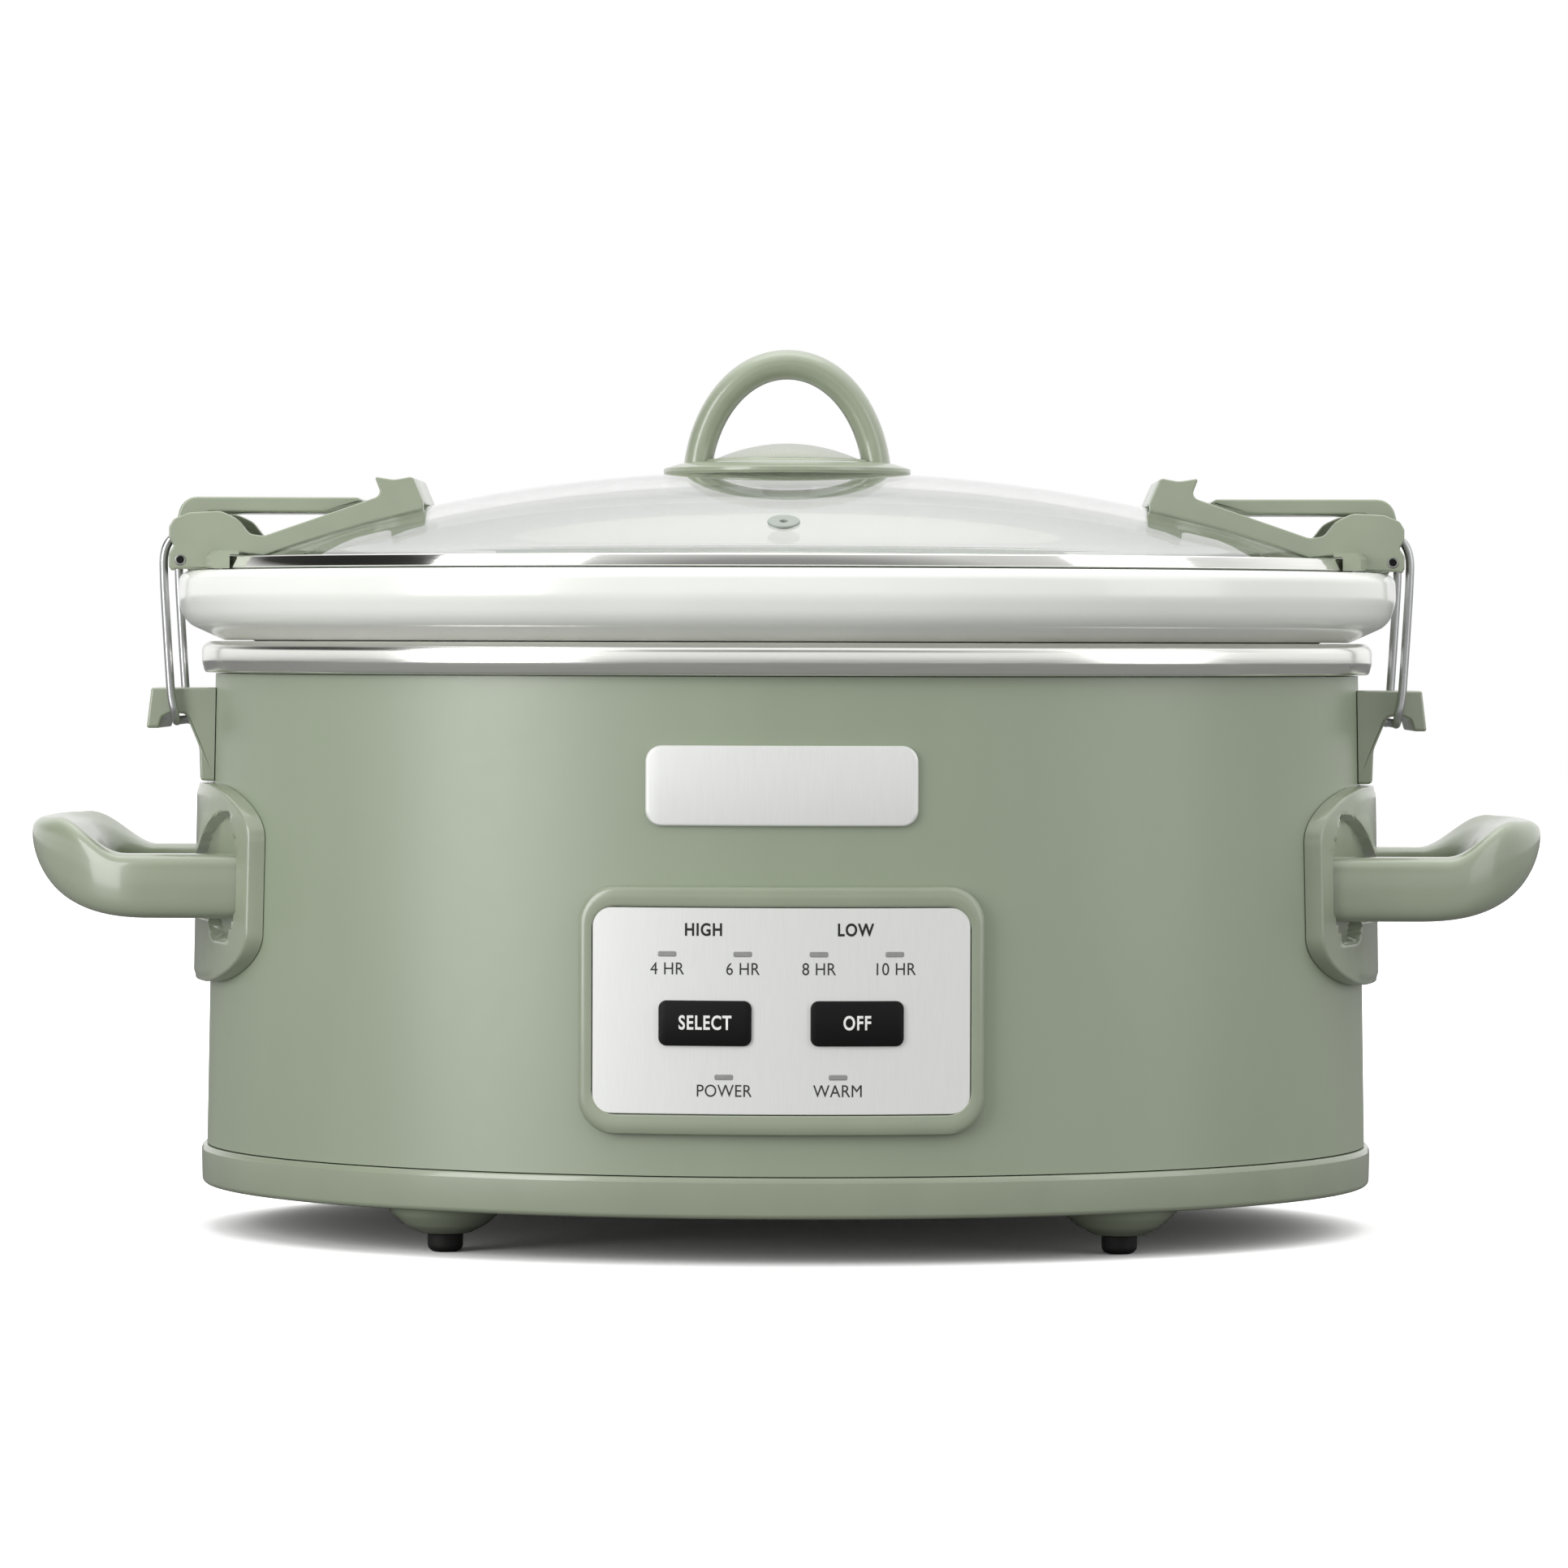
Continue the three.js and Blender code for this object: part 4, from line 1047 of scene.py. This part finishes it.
def handle_plan():
    """The middle line of the handle's bar, seen from above: out along one leg and back along the other."""
    turn_x, turn_y, fullness, steps = 31.0, 33.0, 0.9, 24
    leg, tip = LOOP_HIGH.y / MM - LOOP_BAR, LOOP_HIGH.x / MM - LOOP_BAR
    plan = [(150, -leg), (165, -leg)]
    for k in range(steps + 1):
        angle = math.pi / 2 * (k / steps - 1)
        out, along = math.cos(angle) ** fullness, abs(math.sin(angle)) ** fullness
        plan.append((tip - turn_x + turn_x * out, -leg + turn_y - turn_y * along))
    plan += [(x, -y) for x, y in reversed(plan)]
    return resampled([Vector((x, y, 0)) for x, y in plan], 110)


def handle_bottom(x):
    """Height of the handle's keel, which curves up to its tip."""
    along = min(1.0, max(0.0, (x - 180.0) / (LOOP_HIGH.x / MM - 179.6)))
    return 91.6 + 20 * (1 - (1 - along**2.5) ** 0.62)


def handle_top(x):
    """Height of the handle's top, which rises to its tip."""
    return 110.0 + 10.8 * smoothstep(189.5, 209, x)


def handle_shape():
    """A loop of tall, soft-edged section. Its tip curves up like the bow of a boat and is dished on top."""
    plan = handle_plan()
    verts = []
    legs, bow = superellipse(1, 1, 4.4, 44), superellipse(1, 1, 2.9, 44)
    for i, point in enumerate(plan):
        before, after = plan[max(i - 1, 0)], plan[min(i + 1, len(plan) - 1)]
        along = (after - before).normalized()
        outward = Vector((along.y, -along.x, 0))
        tipped = smoothstep(190, 212, point.x)
        for leg_point, bow_point in zip(legs, bow):
            a, b = Vector(leg_point).lerp(Vector(bow_point), tipped)
            side = LOOP_BAR * a * (1 + 0.06 * tipped)
            spot = point + outward * side
            low, high = handle_bottom(spot.x), handle_top(spot.x)
            dish = 2.6 * tipped * smoothstep(0.75, -0.2, a) * smoothstep(0.3, 1.0, b)
            x, y, z = spot.x * MM, spot.y * MM, ((low + high) / 2 + (high - low) / 2 * b - dish) * MM
            if i in (0, len(plan) - 1):
                x = end_point(y, z, 0.6 * MM)[0]
            verts.append((x, y, z))
    return verts, row_faces(len(plan), len(legs))


def resampled(points, count):
    """The same path with evenly spaced points."""
    lengths = [0.0]
    for a, b in zip(points, points[1:]):
        lengths.append(lengths[-1] + (b - a).length)
    path, at = [], 0
    for k in range(count):
        want = lengths[-1] * k / (count - 1)
        while at < len(points) - 2 and lengths[at + 1] < want:
            at += 1
        part = (want - lengths[at]) / max(lengths[at + 1] - lengths[at], 1e-9)
        path.append(points[at].lerp(points[at + 1], part))
    return path


def build_handles():
    """A shield and a carrying handle on each end."""
    plate, loop = plate_shape(), handle_shape()
    for side in ("left", "right"):
        piece(f"handle_shield_{side}", *on_end(side, plate), "base", "sage_plastic", [f"handle_plate_{side}"])
        piece(f"carry_handle_{side}", *on_end(side, loop), "base", "sage_plastic", [f"side_handle_{side}"],
              sharp=60)


# ---------------- control panel


def size_of(node):
    """Width, height, middle x and middle z of a piece on the front."""
    low, high = box_of(node)
    return high.x - low.x, high.z - low.z, (low.x + high.x) / 2, (low.z + high.z) / 2


FACE_PROUD = 2.95 * MM
KEY_PROUD = FACE_PROUD + 0.9 * MM  # the 0.9 is a little more than the keys' travel
INK_PROUD = 0.06 * MM  # how far lettering stands off what it is printed on
BOLD = 0.12 * MM  # how much bold lettering is fattened
CAP_HEIGHT = 0.69  # height of a capital letter in the built-in font of size 1


def build_bezel_and_face():
    """A soft raised frame and the silver face inside it, a small gap apart."""
    width, height, _, z = size_of("panel_bezel")
    face_width, face_height, _, face_z = size_of("panel_face")
    gap = 0.3 * MM
    beside, above = (width - face_width) / 2 - gap, (height - face_height) / 2 - gap
    outer_edge = [(0, 0.3), (0, 2.2), (0.25, 2.85), (0.8, 3.2), (1.6, 3.3)]
    inner_edge = [(-0.5, 3.2), (-0.15, 3.12), (0, 2.95), (0, 0.4)]
    profile = [(inset * MM, proud * MM) for inset, proud in outer_edge]
    profile += [(beside + inset * MM, proud * MM) for inset, proud in inner_edge]
    bezel = front_plate(width, height, 10 * MM, z, profile, capped=False, upright=above / beside)
    piece("bezel", *bezel, "base", "sage_plastic", ["panel_bezel"])
    profile = [(0, 0.4 * MM), (0, FACE_PROUD - 0.15 * MM), (0.15 * MM, FACE_PROUD)]
    face = front_plate(face_width, face_height, 5 * MM, face_z, profile)
    piece("face_plate", *face, "base", "silver_overlay", ["panel_face"])


def build_keys():
    """The two buttons. Their backs stay clear of the housing when they are pressed."""
    profile = [(0, 1.2 * MM)]
    for inset, down in ((0, 0.5), (0.15, 0.15), (0.5, 0)):
        profile.append((inset * MM, KEY_PROUD - down * MM))
    for name in ("select", "off"):
        width, height, x, z = size_of(f"{name}_button")
        key = front_plate(width, height, 2.2 * MM, z, profile, x, columns=10)
        piece(f"{name}_key", *key, f"{name}_button", "black_plastic", [f"{name}_button"])


def build_lenses():
    """The ends of the six light pipes."""
    profile = [(0, -2 * MM), (0, FACE_PROUD + 0.05 * MM), (0.2 * MM, FACE_PROUD + 0.2 * MM)]
    for number in range(1, 7):
        width, height, x, z = size_of(f"light_pipe_{number}")
        lens = front_plate(width, height, 0.5 * MM, z, profile, x, columns=4)
        piece(f"lens_{number}", *lens, "base", "lens", [f"light_pipe_{number}"])


def build_badge():
    """A blank silver plate above the panel."""
    width, height, _, z = size_of("badge_plate")
    profile = [(0, 0.3 * MM), (0, 1.0 * MM), (0.35 * MM, 1.4 * MM), (0.9 * MM, 1.5 * MM)]
    badge = front_plate(width, height, 4.4 * MM, z, profile)
    piece("blank_badge", *badge, "base", "silver_overlay", ["badge_plate"])


def label(text, x, z, tall, material, body, proud, squeeze=1.0, weight=0.0):
    """Flat lettering laid on the panel's curve."""
    words = bpy.data.curves.new(f"words_{text}", "FONT")
    words.body = text
    words.align_x = "CENTER"
    words.align_y = "CENTER"
    words.size = tall / CAP_HEIGHT
    words.offset = weight
    words.resolution_u = 6
    words.space_character = 1.12 if weight else 1.04
    holder = bpy.data.objects.new("lettering", words)
    bpy.context.scene.collection.objects.link(holder)
    bpy.context.view_layer.update()
    flat = bpy.data.meshes.new_from_object(holder)
    bpy.data.objects.remove(holder)
    bpy.data.curves.remove(words)
    for vertex in flat.vertices:
        across, up, _ = vertex.co
        vertex.co = front_point(x + across * squeeze, z + up, proud)
    name = "label_" + text.lower().replace(" ", "_")
    flat.materials.clear()
    made = bpy.data.objects.new(name, flat)
    bpy.context.scene.collection.objects.link(made)
    flat.materials.append(material)
    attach(made, body)


def build_labels():
    """Generic words only: heat levels, hours, states and the keys' names."""
    grey, pale = ink("grey_ink", linear(48, 48, 48)), ink("white_ink", linear(244, 244, 242))
    dark = ink("dark_ink", linear(24, 24, 24))
    on_face, on_key = FACE_PROUD + INK_PROUD, KEY_PROUD + INK_PROUD
    small, large = 3.3 * MM, 3.7 * MM
    lenses = [size_of(f"light_pipe_{n}") for n in range(1, 7)]
    for hours, (_, _, x, z) in zip(("4 HR", "6 HR", "8 HR", "10 HR"), lenses):
        label(hours, x, z - 4.2 * MM, small, grey, "base", on_face, 0.9)
    for word, (_, _, x, z) in zip(("POWER", "WARM"), lenses[4:]):
        label(word, x, z - 3.9 * MM, small, grey, "base", on_face, 0.9)
    for word, pair in (("HIGH", lenses[:2]), ("LOW", lenses[2:4])):
        x, z = (pair[0][2] + pair[1][2]) / 2 - 0.4 * MM, pair[0][3] + 6.5 * MM
        label(word, x, z, small, dark, "base", on_face, 0.84, BOLD)
    for word in ("SELECT", "OFF"):
        key = f"{word.lower()}_button"
        _, _, x, z = size_of(key)
        label(word, x, z, large, pale, key, on_key, 0.76, BOLD)


# ---------------- rear gland


def build_gland():
    """The bush at the back that the cord would come out of."""
    low, high = box_of("cord_gland")
    z = (low.z + high.z) / 2
    start, wall = low.y / MM, half_depth(housing_oval(z)) / MM
    back = high.y / MM
    outline = mm_outline([
        (3.5, start, 0.3), (8.4, start, 0.5), (8.4, wall - 2.1, 0.3), (6, wall - 2.1, 0.2),
        (6, wall + 0.4, 0.2), (9.5, wall + 0.4, 0.6), (9.5, wall + 2.6, 0.9), (6.6, wall + 4, 1),
        (5.2, back, 0.8), (3.5, back, 0.4),
    ])
    verts, around = [], 64
    for k in range(around):
        angle = 2 * math.pi * k / around
        verts += [(radius * math.cos(angle), y, z + radius * math.sin(angle)) for radius, y in outline]
    piece("cord_bush", verts, ring_faces(around, len(outline)), "base", "black_plastic", ["cord_gland"])


# ---------------- carried-over CAD nodes


def finish_cad_nodes():
    """CAD nodes that stay get their slot's material."""
    slots = {part["node"]: part["material_slot"] for part in frame["record"]["subparts"]}
    for node, shown in frame["nodes"].items():
        for slot in shown.material_slots:
            slot.material = MATERIALS[slots[node]]


# ---------------- stage, light and camera


FLOOR_SEEN = 1.5  # the floor's shade to the camera
FLOOR_BOUNCE = 0.18  # its shade to every other ray
EYE_LEVEL = 1.0  # brightness of the band at eye level
BACK_WALL = 0.28  # brightness that the wall behind adds
# places in metres, the lens in millimetres and angles in degrees
CAMERA = {
    "distance": 1.85, "height": 0.171, "aside": -0.8 * MM, "lens": 145.0,
    "pitch": -1.29, "turn": 0.6, "roll": -0.15,
}


def grey_level(level):
    """A grey as a colour."""
    return (level, level, level, 1)


def build_stage():
    """A pale floor. It is brighter to the camera than it is in the light that it throws back."""
    floor = bpy.data.meshes.new("floor")
    size = 6.0
    corners = [(-size, -size, 0), (size, -size, 0), (size, size, 0), (-size, size, 0)]
    floor.from_pydata(corners, [], [(0, 1, 2, 3)])
    made = bpy.data.objects.new("floor", floor)
    bpy.context.scene.collection.objects.link(made)
    finish = Finish("floor", grey_level(0.5), 0.9, Specular_IOR_Level=0.0)
    seen = finish.nodes.new("ShaderNodeLightPath").outputs["Is Camera Ray"]
    shade = finish.ramp(seen, grey_level(FLOOR_BOUNCE), grey_level(FLOOR_SEEN), 0, 1)
    finish.links.new(shade, finish.shader.inputs["Base Color"])
    floor.materials.append(finish.material)


def ramp_along(tree, value, *stops):
    """A grey level along one axis of a direction, from (direction, level) stops."""
    spread = tree.nodes.new("ShaderNodeMapRange")
    spread.inputs["From Min"].default_value = -1.0
    tree.links.new(value, spread.inputs["Value"])
    ramp = tree.nodes.new("ShaderNodeValToRGB")
    elements = ramp.color_ramp.elements
    while len(elements) < len(stops):
        elements.new(0.5)
    for element, (direction, level) in zip(elements, stops):
        element.position = (direction + 1) / 2
        element.color = grey_level(level)
    tree.links.new(spread.outputs["Result"], ramp.inputs["Fac"])
    return ramp.outputs["Color"]


def mixed(tree, factor, first, second, blend="MIX"):
    """Two colours mixed, where each input is a number, a colour or another node's output."""
    mix = tree.nodes.new("ShaderNodeMix")
    mix.data_type = "RGBA"
    mix.blend_type = blend
    for number, value in ((0, factor), (6, first), (7, second)):
        if isinstance(value, bpy.types.NodeSocket):
            tree.links.new(value, mix.inputs[number])
        else:
            mix.inputs[number].default_value = value
    return mix.outputs[2]


def build_world():
    """White to the camera.

    In light and reflections it is a room with a pale wall behind, a pale band at eye level, a bright
    ceiling, a black flag on the left and a grey one straight ahead.
    """
    world = bpy.data.worlds.new("studio")
    world.use_nodes = True
    tree = world.node_tree
    place = tree.nodes.new("ShaderNodeTexCoord").outputs["Generated"]
    split = tree.nodes.new("ShaderNodeSeparateXYZ")
    tree.links.new(place, split.inputs["Vector"])
    side, depth, height = (split.outputs[axis] for axis in "XYZ")
    walls = ramp_along(tree, height, (0.0, 0.54), (0.12, 0.54), (0.5, 0.66), (0.8, 1.25))
    left_flag = ramp_along(tree, side, (-1.0, 0.03), (-0.84, 0.05), (-0.5, 1.0), (0.5, 1.0), (1.0, 1.3))
    front_flag = ramp_along(tree, depth, (-1.0, 0.4), (-0.88, 0.45), (-0.76, 1.0), (1.0, 1.1))
    back_wall = ramp_along(tree, depth, (-0.05, 0.0), (0.5, BACK_WALL))
    room = mixed(tree, 1.0, walls, front_flag, "MULTIPLY")
    room = mixed(tree, 1.0, room, back_wall, "ADD")
    room = mixed(tree, 1.0, room, left_flag, "MULTIPLY")
    eye_level = ramp_along(tree, height, (0.12, 0.0), (0.25, 1.0))
    room = mixed(tree, eye_level, grey_level(EYE_LEVEL), room)
    seen = tree.nodes.new("ShaderNodeLightPath").outputs["Is Camera Ray"]
    shown = mixed(tree, seen, room, grey_level(1))
    tree.links.new(shown, tree.nodes["Background"].inputs["Color"])
    bpy.context.scene.world = world


def softbox(name, place, target, width, height, power):
    """A rectangular lamp, with its size in metres and its power in watts."""
    lamp = bpy.data.lights.new(name, "AREA")
    lamp.shape = "RECTANGLE"
    lamp.size = width
    lamp.size_y = height
    lamp.energy = power
    made = bpy.data.objects.new(name, lamp)
    made.location = place
    made.rotation_euler = (Vector(target) - Vector(place)).to_track_quat("-Z", "Y").to_euler()
    bpy.context.scene.collection.objects.link(made)


def build_lights():
    """A key from the left, a weaker fill from the right and a soft lamp overhead."""
    middle = (0, 0, 0.12)
    softbox("key", (-1.2, -1.12, 0.55), middle, 0.75, 1.3, 15.5)
    softbox("fill", (1.6, -0.9, 0.6), middle, 0.8, 1.2, 4.6)
    softbox("top", (0, 0.3, 2.0), middle, 1.6, 1.2, 7.4)


def build_camera():
    """A long lens in front, a little above the middle."""
    lens = bpy.data.cameras.new("camera")
    lens.lens = CAMERA["lens"]
    lens.sensor_width = 36.0
    made = bpy.data.objects.new("camera", lens)
    turn = math.radians(CAMERA["turn"])
    distance = CAMERA["distance"]
    x, y = distance * math.sin(turn) + CAMERA["aside"], -distance * math.cos(turn)
    made.location = (x, y, CAMERA["height"])
    made.rotation_euler = (math.radians(90 + CAMERA["pitch"]), math.radians(CAMERA["roll"]), turn)
    bpy.context.scene.collection.objects.link(made)
    bpy.context.scene.camera = made
    bpy.context.scene.view_settings.view_transform = "Standard"


finish_cad_nodes()
build_housing()
build_rim()
build_well()
build_heater_wrap()
build_base()
build_crock()
build_glass()
build_lid_edge()
build_lid_handle()
build_vent()
build_latches()
build_handles()
build_bezel_and_face()
build_keys()
build_lenses()
build_badge()
build_labels()
build_gland()
build_stage()
build_world()
build_lights()
build_camera()
